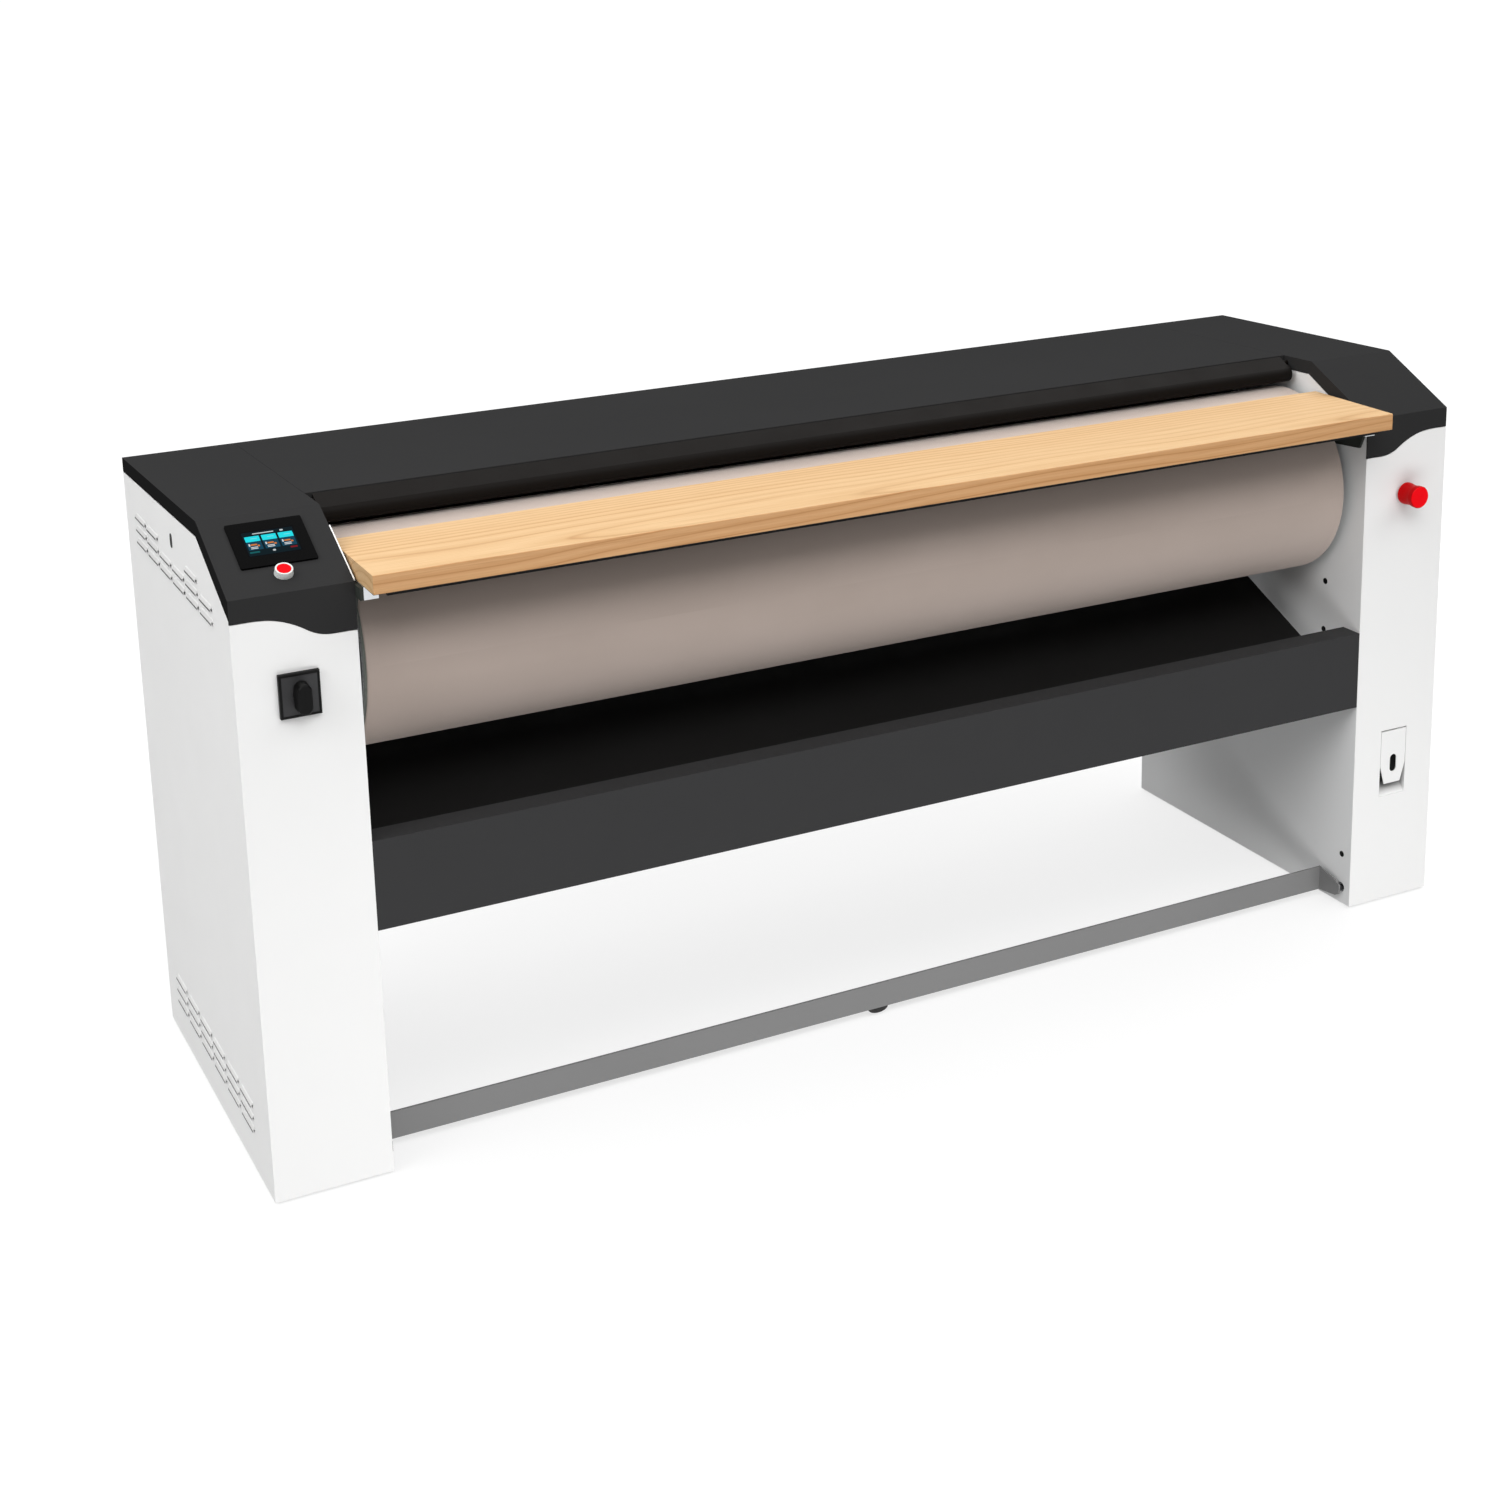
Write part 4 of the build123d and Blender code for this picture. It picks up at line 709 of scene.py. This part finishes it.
# painted shade: black fills in the oval holes of the side sheets
mesh_object("catch_hole_shade_plugs", catch_hole_shade_plugs(), M["plug"], "machine", 40)

# display: generic tiles without lettering, lying on the glass
SL = math.hypot(0.1545, 0.074)
EY = Vector((0, 0.1545 / SL, 0.074 / SL))
EN = Vector((0, -0.074 / SL, 0.1545 / SL))
PANEL_O = Vector((-0.98325, -0.133, 0.985)) - EY * (0.0685 - 0.0005) + EN * 0.00313


def panel_quads(name, rects, mat, lift=0.0):
    """Rounded tiles on the display; each is (x, y, width, height) in mm from its middle, with a corner radius."""
    bm = bmesh.new()
    for x, y, w, h, r in rects:
        ring = []
        for cx, cy, a0 in ((w / 2 - r, h / 2 - r, 0), (-w / 2 + r, h / 2 - r, 90), (-w / 2 + r, -h / 2 + r, 180), (w / 2 - r, -h / 2 + r, 270)):
            for i in range(5 if r > 0.05 else 1):
                a = math.radians(a0 + i * 22.5)
                px, py = x + cx + r * math.cos(a), y + cy + r * math.sin(a)
                ring.append(PANEL_O + Vector((px / 1000, 0, 0)) + EY * (py / 1000) + EN * (lift / 1000))
        vs = [bm.verts.new(p) for p in ring]
        top = bm.faces.new(vs)
        ext = bmesh.ops.extrude_face_region(bm, geom=[top])
        for v in ext["geom"]:
            if isinstance(v, bmesh.types.BMVert):
                v.co += EN * 0.00004
    bmesh.ops.recalc_face_normals(bm, faces=bm.faces)
    return mesh_object(name, bm, mat, "machine")


panel_quads("display_field", [(0, 0, 72, 50, 1.0)], lit("lit_field", (0.008, 0.022, 0.030), 0.6))
tiles, heads, skins, marks, lights = [], [], [], [], []
for i, x in enumerate((-23.5, 0.0, 23.5)):
    tiles.append((x, 1.5, 20.5, 29.0, 0.8))
    heads.append((x, 10.4, 20.5, 11.2, 0.8))
    # a plain pictogram: a roll over a folded sheet
    marks += [(x - 1.0, -1.8, 9.5, 3.0, 1.45), (x + 5.2, -4.6, 3.6, 3.6, 1.7)]
    lights += [(x - 1.6, -7.0, 10.0, 1.5, 0.2), (x - 1.6, -9.8, 10.0, 1.5, 0.2), (x - 7.2, -1.8, 2.0, 5.0, 0.3)]
    skins.append((x + 2.0, 11.0, 9.0, 1.3, 0.3))
panel_quads("display_tiles", tiles, lit("lit_tile", (0.010, 0.075, 0.130), 0.8), 0.05)
panel_quads("display_heads", heads, lit("lit_cyan", (0.020, 0.72, 0.80), 1.05), 0.10)
panel_quads("display_marks", marks, lit("lit_amber", (0.75, 0.23, 0.05), 0.9), 0.10)
panel_quads("display_lights", lights, lit("lit_white", (0.80, 0.84, 0.86), 0.9), 0.10)
panel_quads("display_head_marks", skins, lit("lit_pale", (0.25, 0.80, 0.86), 0.9), 0.15)
panel_quads("display_bar", [(-6, 20.8, 30, 2.0, 0.9), (20, 21.0, 5.0, 3.4, 1.6), (0, -18.2, 4.4, 3.8, 1.85)], lit("lit_bar", (0.62, 0.68, 0.70), 0.9), 0.05)
panel_quads("display_keys", [(-27, -17.6, 14, 3.4, 1.0)], lit("lit_teal", (0.01, 0.14, 0.15), 0.8), 0.05)
panel_quads("display_stop_key", [(28, -17.0, 10, 3.2, 1.0)], lit("lit_red", (0.28, 0.012, 0.02), 0.8), 0.05)

# ---------------------------------------------------------------- stage
def floor():
    bm = bmesh.new()
    s = 40.0
    vs = [bm.verts.new(p) for p in ((-s, -s, 0), (s, -s, 0), (s, s, 0), (-s, s, 0))]
    bm.faces.new(vs)
    me = bpy.data.meshes.new("floor")
    bm.to_mesh(me)
    bm.free()
    o = bpy.data.objects.new("floor", me)
    bpy.context.scene.collection.objects.link(o)
    m = Mat("floor_plain").set(spec=0.0, rough=0.9, emit=(1.0, 1.0, 1.0), emit_k=0.72)
    m.color(m.ramp(m.noise(0.6, 2), [(0.3, (0.27, 0.27, 0.27)), (0.7, (0.28, 0.28, 0.28))]))
    me.materials.append(m.m)
    o.visible_diffuse = False
    o.visible_shadow = False


def backdrop():
    """A far white dome that only closes the view; the light comes from the world and the lamps."""
    bm = bmesh.new()
    bmesh.ops.create_uvsphere(bm, u_segments=48, v_segments=24, radius=38.0)
    bmesh.ops.reverse_faces(bm, faces=bm.faces)
    me = bpy.data.meshes.new("backdrop")
    bm.to_mesh(me)
    bm.free()
    o = bpy.data.objects.new("backdrop", me)
    bpy.context.scene.collection.objects.link(o)
    m = Mat("backdrop_white").set(color=(0.0, 0.0, 0.0), spec=0.0, emit=(1.0, 1.0, 1.0), emit_k=1.0)
    me.materials.append(m.m)
    o.visible_diffuse = o.visible_glossy = o.visible_shadow = o.visible_transmission = False


floor()
backdrop()


def area(name, loc, target, size, power, color=(1, 1, 1), size_y=None):
    d = bpy.data.lights.new(name, "AREA")
    d.energy = power
    d.color = color
    d.shape = "RECTANGLE"
    d.size = size
    d.size_y = size_y or size
    o = bpy.data.objects.new(name, d)
    o.location = loc
    o.rotation_mode = "QUATERNION"
    o.rotation_quaternion = (Vector(target) - Vector(loc)).to_track_quat("-Z", "Y")
    bpy.context.scene.collection.objects.link(o)


area("key", (-1.0, -3.9, 4.8), (0.1, 0, 0.6), 2.6, 60)
area("left_fill", (-4.6, -1.2, 2.6), (0, 0, 0.6), 2.6, 58)
area("bounce", (0.0, -2.2, -0.5), (0, -0.15, 0.65), 3.4, 28, size_y=0.8)
bpy.data.objects["bounce"].visible_camera = False


def studio():
    """Soft light by height: a bright band high up all round, pale from below, little from the sides."""
    w = bpy.data.worlds.new("world")
    bpy.context.scene.world = w
    w.use_nodes = True
    nt = w.node_tree
    back = nt.nodes["Background"]
    co = nt.nodes.new("ShaderNodeTexCoord")
    sep = nt.nodes.new("ShaderNodeSeparateXYZ")
    to01 = nt.nodes.new("ShaderNodeMapRange")
    to01.inputs["From Min"].default_value = -1.0
    to01.inputs["From Max"].default_value = 1.0
    ramp = nt.nodes.new("ShaderNodeValToRGB")
    ramp.color_ramp.interpolation = "LINEAR"
    stops = [(0.0, 0.080), (0.30, 0.080), (0.44, 0.035), (0.74, 0.035), (0.80, 0.86), (0.92, 0.86), (0.96, 0.10), (1.0, 0.05)]
    el = ramp.color_ramp.elements
    while len(el) > 1:
        el.remove(el[0])
    el[0].position, el[0].color = stops[0][0], (stops[0][1],) * 3 + (1,)
    for pos, v in stops[1:]:
        el.new(pos).color = (v, v, v, 1)
    nt.links.new(co.outputs["Generated"], sep.inputs[0])
    nt.links.new(sep.outputs[2], to01.inputs["Value"])
    nt.links.new(to01.outputs[0], ramp.inputs[0])
    nt.links.new(ramp.outputs[0], back.inputs["Color"])
    back.inputs["Strength"].default_value = 3.0


studio()
bpy.context.scene.view_settings.view_transform = "Standard"
bpy.context.scene.view_settings.look = "None"

bpy.context.view_layer.update()
